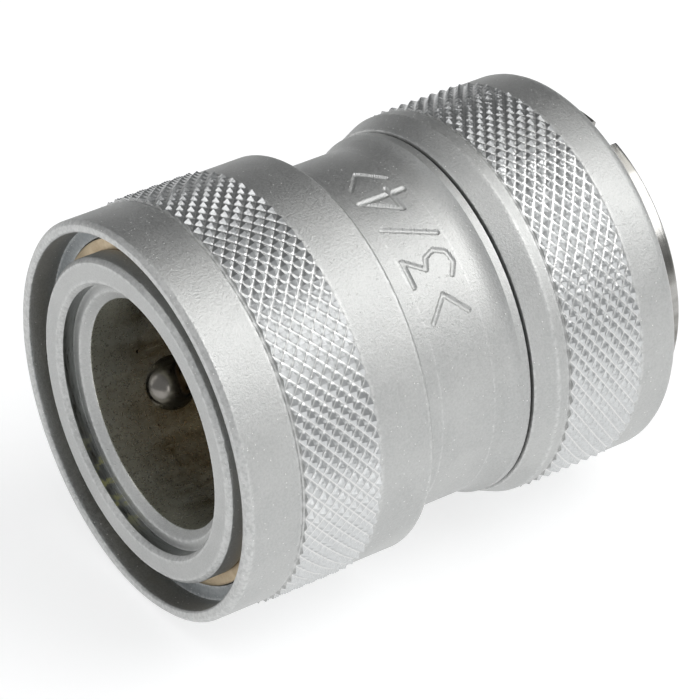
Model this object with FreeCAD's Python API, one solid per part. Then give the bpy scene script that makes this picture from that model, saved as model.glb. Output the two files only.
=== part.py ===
import FreeCAD, Part
import math
import os

# Ball-lock quick disconnect coupler, female half, for 3/4 inch hose work.  Millimetres, +Z up.
# The axis of the coupler is Y.  The origin is on the axis at the front edge of the socket bore.
# The mouth faces -Y and the hose thread faces +Y.  A name that ends in _AT is a place along Y.
# Radial sizes are stacked outwards from the socket bore, and places follow each other rearwards.

# ---- fits and clearances -------------------------------------------------------------------
RUN_GAP = 0.10              # sleeve land over the ball cage, on the radius
NECK_GAP = 0.10             # sleeve skirt over the neck, on the radius
BALL_GAP = 0.05             # ball to its pocket and to the sleeve ramp
BALL_PLAY = 0.50            # how far a locked ball may move out before the land stops it
SEAT_GAP = 0.03             # press and screw-in rings, on the radius
THREAD_GAP = 0.05           # nominal screwed fits, on the radius
FACE_GAP = 0.05             # between faces that meet at a stop
STEM_GAP = 0.08             # valve stem in its guide, on the radius
SPRING_GAP = 0.08           # washer bores over what they slide on, on the radius
SEAL_ROOM = 0.10            # spare length in a seal groove
SEAL_SQUEEZE = 0.50         # how far the plug seal stands into the bore

# ---- socket bore and nose of the body ------------------------------------------------------
BORE_R = 11.50
BORE_L = 5.25               # guiding stretch in front of the balls
BORE_RELIEF = 0.25          # from there to the plug seal
NOSE_WALL = 4.70            # nose and ball cage
NOSE_AHEAD = 2.40           # nose face ahead of the bore edge
NOSE_CHAMFER = 0.45
MOUTH_STEP = 2.34           # counterbore at the nose face, outside the bore
MOUTH_CHAMFER = 0.45
LEDGE_STEP = 0.90           # inner edge of the ledge at the foot of the counterbore
LEDGE_AHEAD = 0.75          # ledge ahead of the bore edge

# ---- stop ring in the nose groove ----------------------------------------------------------
RING_GROOVE_AT = 0.30       # front wall of the groove
RING_T = 0.85
RING_DEPTH = 0.70           # groove depth below the nose
RING_PROUD = 1.10           # how far the ring stands out of the nose
RING_SPLIT = 2.0            # gap where the ring is cut
RING_SPLIT_ANGLE = 20.0

# ---- locking balls -------------------------------------------------------------------------
BALL_COUNT = 4
BALL_R = 3.00
BALL_FIRST_ANGLE = 208.0
BALL_TRAVEL_PER_SLEEVE = 0.50
SLEEVE_STROKE = 3.50

# ---- locking sleeve ------------------------------------------------------------------------
LIP_AHEAD = 2.70            # sleeve lip ahead of the bore edge
SLEEVE_WALL = 2.35          # over the neck
SLEEVE_KNURL_H = 0.30
LIP_WALL = 1.25
LIP_CHAMFER_OUT = 0.45
LIP_CHAMFER_IN = 0.20
SHOULDER_AT = 0.30          # shoulder inside the lip, at its outer edge
SHOULDER_DISH = 0.30        # how much deeper its inner edge is
RETAINER_T = 1.00           # inward flange that meets the stop ring
SLEEVE_KNURL_SETBACK = 6.25     # from the lip
SLEEVE_KNURL_L = 8.25
SKIRT_LAP = 0.50            # how far the skirt covers the neck at rest
SLEEVE_END_CHAMFER = 0.35
LAND_LEAD = 0.28            # land reaches this far ahead of the ball centre
LAND_TAIL = 1.60            # and this far behind it
RECESS_CLEAR = 0.15         # recess floor above a fully open ball

# ---- sleeve spring and its washer ----------------------------------------------------------
SEAT_WASHER_T = 0.40
SLEEVE_WIRE_R = 0.45
SLEEVE_TURNS = 2.5
SLEEVE_SPRING_SPARE = 0.55      # length left when the sleeve is fully back and the coils are flat

# ---- neck, flange and spigot of the body ---------------------------------------------------
NECK_STEP = 1.35            # neck above the ball cage
NECK_L = 10.10
NECK_CHAMFER = 0.20
FLANGE_STEP = 0.75          # flange above the neck
FLANGE_SWEEP = 1.90         # length of the round sweep from neck to flange
FLANGE_T = 0.85
FLANGE_EDGE = 0.25
SPIGOT_WALL = 2.70          # carries the male thread for the nut
SPIGOT_L = 7.95

# ---- plug seal, valve seat and valve chamber ----------------------------------------------
SEAL_CORD_R = 1.30
SEAL_SETBACK = 1.00         # wall between the ball pockets and the seal groove
SEAL_BACKUP_T = 0.80
SEAT_L = 5.20
SEAT_THROAT_STEP = 1.70     # throat inside the bore
SEAT_CONE_DEPTH = 1.60      # 45 degree seat, axial depth
SEAT_THROAT_L = 1.20
CHAMBER_STEP = 0.30         # valve chamber outside the seal pocket
GUIDE_T = 2.00
GUIDE_POCKET_STEP = 0.40    # guide pocket outside the chamber

# ---- shut-off valve ------------------------------------------------------------------------
VALVE_CAP_L = 2.53
VALVE_CAP_TIP_R = 4.20
VALVE_CAP_CLEAR = 1.40      # cap inside the throat, on the radius
VALVE_SEAL_T = 1.50
VALVE_HUB_R = 5.00
HEAD_LAP = 0.10             # head past the seat cone, on the radius
HEAD_T = 1.60
STEM_R = 2.50
STEM_PAST_GUIDE = 0.60
VALVE_WIRE_R = 0.55
VALVE_SPRING_R = 5.40       # to the middle of the wire
VALVE_TURNS = 5.5
GUIDE_RIM_WALL = 1.50
GUIDE_HUB_WALL = 3.82
GUIDE_ARM_W = 2.60
GUIDE_ARMS = 3

# ---- knurled nut ---------------------------------------------------------------------------
NUT_SETBACK = 0.25          # open gap behind the body's flange
NUT_WALL = 2.77             # over the spigot thread
NUT_FACE_DROP = 0.92        # front face inside the nut's outside, on the radius
NUT_CONE_L = 2.25
NUT_KNURL_H = 0.24
NUT_KNURL_SETBACK = 3.75    # from the front face
NUT_KNURL_L = 8.30
NUT_ROUND = 1.20            # rounding at the rear corner
NUT_L = 16.70
NUT_STEP_LAP = 0.50         # insert thread starts this far ahead of the insert
NUT_SEAL_SETBACK = 0.70
NUT_SEAL_CORD_R = 0.65

# ---- threaded insert, gasket and hose washer -----------------------------------------------
INSERT_WALL = 2.68          # outside the thread's root
NUT_STEP = 0.70             # nut bore drops this much from the spigot to the insert
INSERT_PROUD = 2.90         # how far it stands out of the nut
INSERT_CHAMFER = 0.20
THREAD_MINOR_R = 12.06      # G 3/4 internal thread
THREAD_DEPTH = 1.16
THREAD_RELIEF = 0.10        # run-out groove at the foot of the thread, below the thread's root
THREAD_RUNOUT = 0.30        # how far the groove goes past the hose washer
INSERT_LEDGE_DROP = 1.56    # ledge under the hose washer, inside the thread
INSERT_LEDGE_T = 1.50
SLOT_W = 3.50
SLOT_ANGLE = 77.5           # two face-spanner slots, this one and the one across
SLOT_FLOOR_PROUD = 0.15     # slot floor above the nut's rear face
GASKET_T = 1.20
GASKET_SETBACK = 0.30       # gasket bore outside the ledge
GASKET_EDGE = 0.20          # gasket inside the insert's outside
GASKET_LAP = 1.00           # least width of gasket on the body's rear face
WASHER_T = 2.00
WASHER_WALL = 3.20
WASHER_GAP = 0.06

# ---- radii worked out from the sizes above -------------------------------------------------
BORE_RELIEF_R = BORE_R + BORE_RELIEF
NOSE_R = BORE_R + NOSE_WALL
MOUTH_R = BORE_R + MOUTH_STEP
LEDGE_R = BORE_R + LEDGE_STEP
RING_OUTER_R = NOSE_R + RING_PROUD
RING_SEAT_R = RING_OUTER_R + RUN_GAP
LAND_R = NOSE_R + RUN_GAP
BALL_POCKET_R = BALL_R + BALL_GAP
BALL_LOCKED_R = LAND_R - BALL_GAP - BALL_PLAY - BALL_R
RECESS_R = BALL_LOCKED_R + BALL_TRAVEL_PER_SLEEVE * SLEEVE_STROKE + BALL_R + RECESS_CLEAR
NECK_R = NOSE_R + NECK_STEP
SKIRT_R = NECK_R + NECK_GAP
SLEEVE_R = SKIRT_R + SLEEVE_WALL
SLEEVE_KNURL_R = SLEEVE_R + SLEEVE_KNURL_H
LIP_INNER_R = SLEEVE_R - LIP_WALL
FLANGE_R = NECK_R + FLANGE_STEP
SEAL_POCKET_R = BORE_R + 2 * SEAL_CORD_R - SEAL_SQUEEZE
SEAT_RING_R = SEAL_POCKET_R - SEAT_GAP
SEAT_THROAT_R = BORE_R - SEAT_THROAT_STEP
SEAT_CONE_R = SEAT_THROAT_R + SEAT_CONE_DEPTH
CHAMBER_R = SEAL_POCKET_R + CHAMBER_STEP
GUIDE_POCKET_R = CHAMBER_R + GUIDE_POCKET_STEP
THREAD_MAJOR_R = THREAD_MINOR_R + THREAD_DEPTH
INSERT_R = max(THREAD_MAJOR_R + INSERT_WALL, GUIDE_POCKET_R + GASKET_LAP + GASKET_EDGE)
SPIGOT_R = max(CHAMBER_R + SPIGOT_WALL, INSERT_R + NUT_STEP)
NUT_BORE_R = SPIGOT_R + THREAD_GAP
NUT_R = NUT_BORE_R + NUT_WALL
NUT_FACE_R = NUT_R - NUT_FACE_DROP
NUT_KNURL_R = NUT_R + NUT_KNURL_H
INSERT_LEDGE_R = THREAD_MINOR_R - INSERT_LEDGE_DROP

# ---- places along the axis worked out from the sizes above ---------------------------------
BALL_AT = BORE_L + BALL_POCKET_R
LAND_AT = BALL_AT - LAND_LEAD
LAND_END_AT = BALL_AT + LAND_TAIL
RECESS_END_AT = LAND_AT - (RECESS_R - LAND_R) / BALL_TRAVEL_PER_SLEEVE
RING_FRONT_AT = RING_GROOVE_AT + 2 * FACE_GAP
RING_GROOVE_END_AT = RING_FRONT_AT + RING_T + FACE_GAP
RETAINER_AT = RING_GROOVE_END_AT
RECESS_AT = RETAINER_AT + RETAINER_T
SLEEVE_KNURL_AT = SLEEVE_KNURL_SETBACK - LIP_AHEAD
SLEEVE_SPRING_AT = LAND_END_AT + SEAT_WASHER_T
SLEEVE_SPRING_FLAT = 2 * SLEEVE_WIRE_R * (SLEEVE_TURNS + 1) + SLEEVE_SPRING_SPARE
NECK_AT = SLEEVE_SPRING_AT + SLEEVE_STROKE + SLEEVE_SPRING_FLAT
SLEEVE_END_AT = NECK_AT + SKIRT_LAP
NECK_END_AT = NECK_AT + NECK_L
FLANGE_AT = NECK_END_AT + FLANGE_SWEEP
FLANGE_END_AT = FLANGE_AT + FLANGE_T
SPIGOT_END_AT = FLANGE_END_AT + SPIGOT_L
SEAL_AT = BALL_AT + BALL_R + SEAL_SETBACK
SEAL_BACKUP_AT = SEAL_AT + 2 * SEAL_CORD_R
SEAT_AT = SEAL_BACKUP_AT + SEAL_BACKUP_T + SEAL_ROOM
SEAT_END_AT = SEAT_AT + SEAT_L
SEAT_CONE_AT = SEAT_END_AT - SEAT_CONE_DEPTH
SEAT_THROAT_AT = SEAT_CONE_AT - SEAT_THROAT_L
VALVE_HEAD_AT = SEAT_END_AT + SEAT_GAP
VALVE_SEAL_AT = VALVE_HEAD_AT - VALVE_SEAL_T
VALVE_SPRING_AT = VALVE_HEAD_AT + HEAD_T
GUIDE_AT = SPIGOT_END_AT - GUIDE_T
STEM_END_AT = SPIGOT_END_AT + STEM_PAST_GUIDE
NUT_AT = FLANGE_END_AT + NUT_SETBACK
NUT_KNURL_AT = NUT_AT + NUT_KNURL_SETBACK
NUT_END_AT = NUT_AT + NUT_L
NUT_SEAL_AT = NUT_AT + NUT_SEAL_SETBACK
INSERT_AT = SPIGOT_END_AT + GASKET_T
INSERT_END_AT = NUT_END_AT + INSERT_PROUD
WASHER_AT = INSERT_AT + INSERT_LEDGE_T
THREAD_AT = WASHER_AT + WASHER_T + THREAD_RUNOUT


def lathe(outline):
    """Turn a closed outline of (radius, y) points about Y; ("arc", middle, end) is an arc."""
    edges = []
    here = outline[0]
    for step in list(outline[1:]) + [outline[0]]:
        start = FreeCAD.Vector(here[0], here[1], 0)
        if step[0] == "arc":
            middle = FreeCAD.Vector(step[1][0], step[1][1], 0)
            end = FreeCAD.Vector(step[2][0], step[2][1], 0)
            edges.append(Part.Arc(start, middle, end).toShape())
            here = step[2]
        else:
            end = FreeCAD.Vector(step[0], step[1], 0)
            edges.append(Part.LineSegment(start, end).toShape())
            here = step
    face = Part.Face(Part.Wire(edges))
    return face.revolve(FreeCAD.Vector(0, 0, 0), FreeCAD.Vector(0, 1, 0), 360)


def tube(inner_r, outer_r, start, end):
    """Plain ring between two radii and two places along the axis."""
    return lathe([(inner_r, start), (outer_r, start), (outer_r, end), (inner_r, end)])


def o_ring(centre_r, centre_at, cord_r):
    """Torus about the coupler's axis."""
    ring = Part.makeTorus(centre_r, cord_r)
    ring.rotate(FreeCAD.Vector(0, 0, 0), FreeCAD.Vector(1, 0, 0), 90)
    ring.translate(FreeCAD.Vector(0, centre_at, 0))
    return ring


def coil_spring(mean_r, wire_r, turns, start, end):
    """Round-wire helix about Y whose wire just fills the room from start to end."""
    height = end - start - 2 * wire_r
    helix = Part.makeHelix(height / turns, height, mean_r)
    section = Part.Wire(Part.makeCircle(wire_r, FreeCAD.Vector(mean_r, 0, 0), FreeCAD.Vector(0, 1, 0)))
    spring = Part.Wire(helix.Edges).makePipeShell([section], True, True)
    spring.rotate(FreeCAD.Vector(0, 0, 0), FreeCAD.Vector(1, 0, 0), -90)
    spring.translate(FreeCAD.Vector(0, start + wire_r, 0))
    return spring


def outward(angle):
    """Unit vector away from the axis at an angle from +X towards +Z."""
    return FreeCAD.Vector(math.cos(math.radians(angle)), 0, math.sin(math.radians(angle)))


def slot_box(angle, width, inner_r, outer_r, start, end):
    """Straight-sided block across the wall at an angle, for slots and splits."""
    block = Part.makeBox(outer_r - inner_r, end - start, width)
    block.translate(FreeCAD.Vector(inner_r, start, -width / 2))
    block.rotate(FreeCAD.Vector(0, 0, 0), FreeCAD.Vector(0, 1, 0), -angle)
    return block


def ball_angles():
    """Angles of the locking balls round the cage."""
    return [BALL_FIRST_ANGLE + 360.0 * index / BALL_COUNT for index in range(BALL_COUNT)]


def ball_centre(angle):
    """Centre of a locked ball."""
    centre = outward(angle) * BALL_LOCKED_R
    centre.y = BALL_AT
    return centre


def ball_pocket(angle):
    """Round-ended hole that holds one ball: half a ball at the bore, then straight out."""
    half = BALL_POCKET_R * math.sqrt(0.5)
    pocket = lathe([
        (0, -BALL_POCKET_R),
        ("arc", (half, -half), (BALL_POCKET_R, 0)),
        (BALL_POCKET_R, NOSE_R),
        (0, NOSE_R),
    ])
    turn = FreeCAD.Rotation(FreeCAD.Vector(0, 1, 0), outward(angle))
    pocket.Placement = FreeCAD.Placement(ball_centre(angle), turn)
    return pocket


def flange_sweep_middle():
    """Middle of the arc that leaves the neck along it and ends at the flange's edge."""
    sweep_r = (FLANGE_STEP ** 2 + FLANGE_SWEEP ** 2) / (2 * FLANGE_STEP)
    half_turn = math.asin(FLANGE_SWEEP / sweep_r) / 2
    rise = sweep_r * (1 - math.cos(half_turn))
    return (NECK_R + rise, NECK_END_AT + sweep_r * math.sin(half_turn))


def socket_body():
    """Nose, ball cage, neck, flange and threaded spigot, turned from one bar."""
    body = lathe([
        (BORE_R, 0),
        (LEDGE_R, -LEDGE_AHEAD),
        (MOUTH_R - MOUTH_CHAMFER, -LEDGE_AHEAD),
        (MOUTH_R - MOUTH_CHAMFER, -NOSE_AHEAD + MOUTH_CHAMFER),
        (MOUTH_R, -NOSE_AHEAD),
        (NOSE_R - NOSE_CHAMFER, -NOSE_AHEAD),
        (NOSE_R, -NOSE_AHEAD + NOSE_CHAMFER),
        (NOSE_R, RING_GROOVE_AT),
        (NOSE_R - RING_DEPTH, RING_GROOVE_AT),
        (NOSE_R - RING_DEPTH, RING_GROOVE_END_AT),
        (NOSE_R, RING_GROOVE_END_AT),
        (NOSE_R, NECK_AT),
        (NECK_R - NECK_CHAMFER, NECK_AT),
        (NECK_R, NECK_AT + NECK_CHAMFER),
        (NECK_R, NECK_END_AT),
        ("arc", flange_sweep_middle(), (FLANGE_R, FLANGE_AT)),
        (FLANGE_R, FLANGE_END_AT - FLANGE_EDGE),
        (FLANGE_R - FLANGE_EDGE, FLANGE_END_AT),
        (SPIGOT_R, FLANGE_END_AT),
        (SPIGOT_R, SPIGOT_END_AT),
        (GUIDE_POCKET_R, SPIGOT_END_AT),
        (GUIDE_POCKET_R, GUIDE_AT),
        (CHAMBER_R, GUIDE_AT),
        (CHAMBER_R, SEAT_END_AT),
        (SEAL_POCKET_R, SEAT_END_AT),
        (SEAL_POCKET_R, SEAL_AT),
        (BORE_RELIEF_R, SEAL_AT),
        (BORE_RELIEF_R, BORE_L),
        (BORE_R, BORE_L),
    ])
    for angle in ball_angles():
        body = body.cut(ball_pocket(angle))
    groove_bottom_r = SPIGOT_R - 2 * NUT_SEAL_CORD_R + THREAD_GAP
    groove_end = NUT_SEAL_AT + 2 * NUT_SEAL_CORD_R + SEAL_ROOM
    return body.cut(tube(groove_bottom_r, NUT_BORE_R, NUT_SEAL_AT, groove_end))


def stop_ring():
    """Split ring in the nose groove that holds the sleeve on."""
    inner_r = NOSE_R - RING_DEPTH + FACE_GAP
    ring = tube(inner_r, RING_OUTER_R, RING_FRONT_AT, RING_FRONT_AT + RING_T)
    split = slot_box(RING_SPLIT_ANGLE, RING_SPLIT, inner_r - RING_T, RING_OUTER_R + RING_T,
                     RING_FRONT_AT - RING_T, RING_FRONT_AT + 2 * RING_T)
    return ring.cut(split)


def locking_sleeve():
    """Sleeve with lip, ring seat, release recess, ramp, locking land and rear skirt."""
    return lathe([
        (SKIRT_R, SLEEVE_END_AT),
        (SKIRT_R, LAND_END_AT),
        (LAND_R, LAND_END_AT),
        (LAND_R, LAND_AT),
        (RECESS_R, RECESS_END_AT),
        (RECESS_R, RECESS_AT),
        (LAND_R, RECESS_AT),
        (LAND_R, RETAINER_AT),
        (RING_SEAT_R, RETAINER_AT),
        (RING_SEAT_R, SHOULDER_AT + SHOULDER_DISH),
        (LIP_INNER_R, SHOULDER_AT),
        (LIP_INNER_R, -LIP_AHEAD + LIP_CHAMFER_IN),
        (LIP_INNER_R + LIP_CHAMFER_IN, -LIP_AHEAD),
        (SLEEVE_R - LIP_CHAMFER_OUT, -LIP_AHEAD),
        (SLEEVE_R, -LIP_AHEAD + LIP_CHAMFER_OUT),
        (SLEEVE_R, SLEEVE_KNURL_AT),
        (SLEEVE_KNURL_R, SLEEVE_KNURL_AT),
        (SLEEVE_KNURL_R, SLEEVE_KNURL_AT + SLEEVE_KNURL_L),
        (SLEEVE_R, SLEEVE_KNURL_AT + SLEEVE_KNURL_L),
        (SLEEVE_R, SLEEVE_END_AT - SLEEVE_END_CHAMFER),
        (SLEEVE_R - SLEEVE_END_CHAMFER, SLEEVE_END_AT),
    ])


def spring_seat():
    """Washer between the sleeve's land and its spring."""
    return tube(NOSE_R + SPRING_GAP, SKIRT_R - FACE_GAP, LAND_END_AT, SLEEVE_SPRING_AT)


def sleeve_spring():
    """Spring that pushes the sleeve forward, between the washer and the neck step."""
    mean_r = (NOSE_R + SKIRT_R) / 2
    return coil_spring(mean_r, SLEEVE_WIRE_R, SLEEVE_TURNS, SLEEVE_SPRING_AT, NECK_AT)


def plug_seal():
    """O-ring that seals round the plug."""
    return o_ring(SEAL_POCKET_R - SEAL_CORD_R, SEAL_AT + SEAL_CORD_R, SEAL_CORD_R)


def seal_backup_ring():
    """Flat plastic ring behind the plug seal."""
    return tube(BORE_RELIEF_R, SEAT_RING_R, SEAL_BACKUP_AT, SEAL_BACKUP_AT + SEAL_BACKUP_T)


def valve_seat():
    """Ring pressed in behind the plug seal, with the 45 degree valve seat at its rear."""
    return lathe([
        (BORE_RELIEF_R, SEAT_AT),
        (SEAT_RING_R, SEAT_AT),
        (SEAT_RING_R, SEAT_END_AT),
        (SEAT_CONE_R, SEAT_END_AT),
        (SEAT_THROAT_R, SEAT_CONE_AT),
        (SEAT_THROAT_R, SEAT_THROAT_AT),
        (BORE_RELIEF_R, SEAT_THROAT_AT),
    ])


def valve_seal():
    """Rubber ring between the cap and the head, coned to lie on the seat."""
    rear_r = SEAT_CONE_R + SEAT_GAP * (1 - math.sqrt(2))
    return lathe([
        (VALVE_HUB_R, VALVE_SEAL_AT),
        (rear_r - VALVE_SEAL_T, VALVE_SEAL_AT),
        (rear_r, VALVE_HEAD_AT),
        (VALVE_HUB_R, VALVE_HEAD_AT),
    ])


def valve_cap():
    """Front cap that the plug pushes, screwed on in front of the valve seal."""
    return lathe([
        (0, VALVE_SEAL_AT - VALVE_CAP_L),
        (VALVE_CAP_TIP_R, VALVE_SEAL_AT - VALVE_CAP_L),
        (SEAT_THROAT_R - VALVE_CAP_CLEAR, VALVE_SEAL_AT),
        (0, VALVE_SEAL_AT),
    ])


def valve_poppet():
    """Hub under the seal, head and stem in one piece."""
    boss_r = VALVE_SPRING_R - VALVE_WIRE_R - SPRING_GAP
    head_r = SEAT_CONE_R + HEAD_LAP
    return lathe([
        (0, VALVE_SEAL_AT),
        (VALVE_HUB_R, VALVE_SEAL_AT),
        (VALVE_HUB_R, VALVE_HEAD_AT),
        (head_r, VALVE_HEAD_AT),
        (head_r, VALVE_SPRING_AT),
        (boss_r, VALVE_SPRING_AT),
        (STEM_R, VALVE_SPRING_AT + boss_r - STEM_R),
        (STEM_R, STEM_END_AT - STEM_R / 2),
        (STEM_R / 2, STEM_END_AT),
        (0, STEM_END_AT),
    ])


def valve_spring():
    """Spring between the valve head and the guide."""
    return coil_spring(VALVE_SPRING_R, VALVE_WIRE_R, VALVE_TURNS, VALVE_SPRING_AT, GUIDE_AT)


def valve_guide():
    """Spider with a rim, arms and a hub that guides the stem."""
    bore_r = STEM_R + STEM_GAP
    hub_r = bore_r + GUIDE_HUB_WALL
    rim_r = GUIDE_POCKET_R - SEAT_GAP
    rim_inner_r = CHAMBER_R - GUIDE_RIM_WALL
    guide = tube(rim_inner_r, rim_r, GUIDE_AT, SPIGOT_END_AT)
    guide = guide.fuse(tube(bore_r, hub_r, GUIDE_AT, SPIGOT_END_AT))
    for index in range(GUIDE_ARMS):
        arm = slot_box(360.0 * index / GUIDE_ARMS + 90.0, GUIDE_ARM_W, (bore_r + hub_r) / 2,
                       (rim_inner_r + rim_r) / 2, GUIDE_AT, SPIGOT_END_AT)
        guide = guide.fuse(arm)
    return guide.removeSplitter()


def nut_seal():
    """O-ring in the spigot groove, under the nut."""
    middle_at = NUT_SEAL_AT + NUT_SEAL_CORD_R + SEAL_ROOM / 2
    return o_ring(NUT_BORE_R - NUT_SEAL_CORD_R, middle_at, NUT_SEAL_CORD_R)


def knurled_nut():
    """Nut that screws on the spigot and carries the threaded insert."""
    corner = NUT_ROUND * (1 - math.sqrt(0.5))
    insert_bore_r = INSERT_R + THREAD_GAP
    return lathe([
        (NUT_BORE_R, NUT_AT),
        (NUT_FACE_R, NUT_AT),
        (NUT_R, NUT_AT + NUT_CONE_L),
        (NUT_R, NUT_KNURL_AT),
        (NUT_KNURL_R, NUT_KNURL_AT),
        (NUT_KNURL_R, NUT_KNURL_AT + NUT_KNURL_L),
        (NUT_R, NUT_KNURL_AT + NUT_KNURL_L),
        (NUT_R, NUT_END_AT - NUT_ROUND),
        ("arc", (NUT_R - corner, NUT_END_AT - corner), (NUT_R - NUT_ROUND, NUT_END_AT)),
        (insert_bore_r, NUT_END_AT),
        (insert_bore_r, INSERT_AT - NUT_STEP_LAP),
        (NUT_BORE_R, INSERT_AT - NUT_STEP_LAP),
    ])


def rear_gasket():
    """Flat gasket between the body and the insert, which also holds the valve guide."""
    return tube(INSERT_LEDGE_R + GASKET_SETBACK, INSERT_R - GASKET_EDGE, SPIGOT_END_AT, INSERT_AT)


def thread_insert():
    """Bright insert with the hose thread, screwed into the nut, with two spanner slots."""
    mouth_r = THREAD_MAJOR_R + INSERT_CHAMFER
    relief_r = THREAD_MAJOR_R + THREAD_RELIEF
    insert = lathe([
        (INSERT_LEDGE_R, INSERT_AT),
        (INSERT_R, INSERT_AT),
        (INSERT_R, INSERT_END_AT - INSERT_CHAMFER),
        (INSERT_R - INSERT_CHAMFER, INSERT_END_AT),
        (mouth_r, INSERT_END_AT),
        (THREAD_MINOR_R, INSERT_END_AT - mouth_r + THREAD_MINOR_R),
        (THREAD_MINOR_R, THREAD_AT),
        (relief_r, THREAD_AT),
        (relief_r, WASHER_AT),
        (INSERT_LEDGE_R, WASHER_AT),
    ])
    for angle in (SLOT_ANGLE, SLOT_ANGLE + 180.0):
        slot = slot_box(angle, SLOT_W, INSERT_LEDGE_R, INSERT_R + SLOT_W,
                        NUT_END_AT + SLOT_FLOOR_PROUD, INSERT_END_AT + SLOT_W)
        insert = insert.cut(slot)
    return insert


def hose_washer():
    """Flat rubber washer at the foot of the hose thread."""
    outer_r = THREAD_MINOR_R - WASHER_GAP
    return tube(outer_r - WASHER_WALL, outer_r, WASHER_AT, WASHER_AT + WASHER_T)


def locking_ball(angle):
    """One steel ball, in its locked place."""
    return Part.makeSphere(BALL_R, ball_centre(angle))


def build():
    """Every piece of the coupler, by node name."""
    pieces = {
        "socket_body": socket_body(),
        "stop_ring": stop_ring(),
        "locking_sleeve": locking_sleeve(),
        "spring_seat": spring_seat(),
        "sleeve_spring": sleeve_spring(),
        "plug_seal": plug_seal(),
        "seal_backup_ring": seal_backup_ring(),
        "valve_seat": valve_seat(),
        "valve_cap": valve_cap(),
        "valve_seal": valve_seal(),
        "valve_poppet": valve_poppet(),
        "valve_spring": valve_spring(),
        "valve_guide": valve_guide(),
        "nut_seal": nut_seal(),
        "knurled_nut": knurled_nut(),
        "rear_gasket": rear_gasket(),
        "thread_insert": thread_insert(),
        "hose_washer": hose_washer(),
    }
    for index, angle in enumerate(ball_angles()):
        pieces["locking_ball_%d" % (index + 1)] = locking_ball(angle)
    return pieces


os.makedirs("parts", exist_ok=True)
for node, shape in build().items():
    shape.exportStep(os.path.join("parts", node + ".step"))
    print(node, "valid", shape.isValid(), "solids", len(shape.Solids), "volume", round(shape.Volume, 2))
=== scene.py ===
"""Looks of a ball-lock quick disconnect coupler, built round its fixed frame.

The axis of the coupler is Y, the mouth faces -Y and +Z is up.  Sizes in the classes are in
millimetres, as a turner's drawing gives them, and MM turns them into metres.  Angles round the
axis run from +X towards +Z, in degrees in the sizes and in radians in the arrays.
"""

import logging
import math
from dataclasses import dataclass, field
from enum import Enum
from functools import partial
from typing import Callable, Optional, Sequence

import bpy
import numpy as np
from mathutils import Matrix, Vector


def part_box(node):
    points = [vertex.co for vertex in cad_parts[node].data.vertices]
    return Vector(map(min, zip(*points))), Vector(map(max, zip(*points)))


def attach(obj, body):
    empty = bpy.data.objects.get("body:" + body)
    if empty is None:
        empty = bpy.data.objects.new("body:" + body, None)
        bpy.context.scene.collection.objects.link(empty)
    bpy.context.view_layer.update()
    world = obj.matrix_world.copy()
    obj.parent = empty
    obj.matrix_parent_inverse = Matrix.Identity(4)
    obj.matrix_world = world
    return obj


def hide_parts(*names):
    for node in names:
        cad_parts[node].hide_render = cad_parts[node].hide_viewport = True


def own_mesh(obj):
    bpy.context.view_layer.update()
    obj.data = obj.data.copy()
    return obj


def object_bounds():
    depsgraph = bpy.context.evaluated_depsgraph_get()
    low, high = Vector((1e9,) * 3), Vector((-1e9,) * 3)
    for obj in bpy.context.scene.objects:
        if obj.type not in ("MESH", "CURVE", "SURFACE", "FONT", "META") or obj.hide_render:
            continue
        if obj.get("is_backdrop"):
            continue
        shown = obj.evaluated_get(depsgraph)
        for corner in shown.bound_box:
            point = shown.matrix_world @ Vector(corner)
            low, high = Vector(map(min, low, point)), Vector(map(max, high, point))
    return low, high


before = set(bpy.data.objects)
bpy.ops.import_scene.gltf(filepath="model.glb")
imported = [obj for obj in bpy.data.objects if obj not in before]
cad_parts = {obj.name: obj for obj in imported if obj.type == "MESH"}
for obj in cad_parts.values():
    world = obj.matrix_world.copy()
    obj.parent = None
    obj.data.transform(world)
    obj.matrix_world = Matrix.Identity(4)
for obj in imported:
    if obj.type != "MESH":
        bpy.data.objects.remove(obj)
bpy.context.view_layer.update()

log = logging.getLogger("coupler")
MM = 0.001
TURN = 2.0 * math.pi

Array = np.ndarray
Relief = Callable[[Array, Array, Array], Array]


class Body(Enum):
    """Bodies that a whole piece of this script rides on, besides the balls' own."""

    BODY = "body"
    SLEEVE = "sleeve"


class Slot(Enum):
    """Material slots of the record, named for the pieces of this script but not given to them."""

    SATIN_NICKEL = "satin_nickel"
    BRIGHT_NICKEL = "bright_nickel"
    BARE_BRASS = "bare_brass"
    BALL_STEEL = "ball_steel"
    SPRING_STEEL = "spring_steel"


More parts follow.
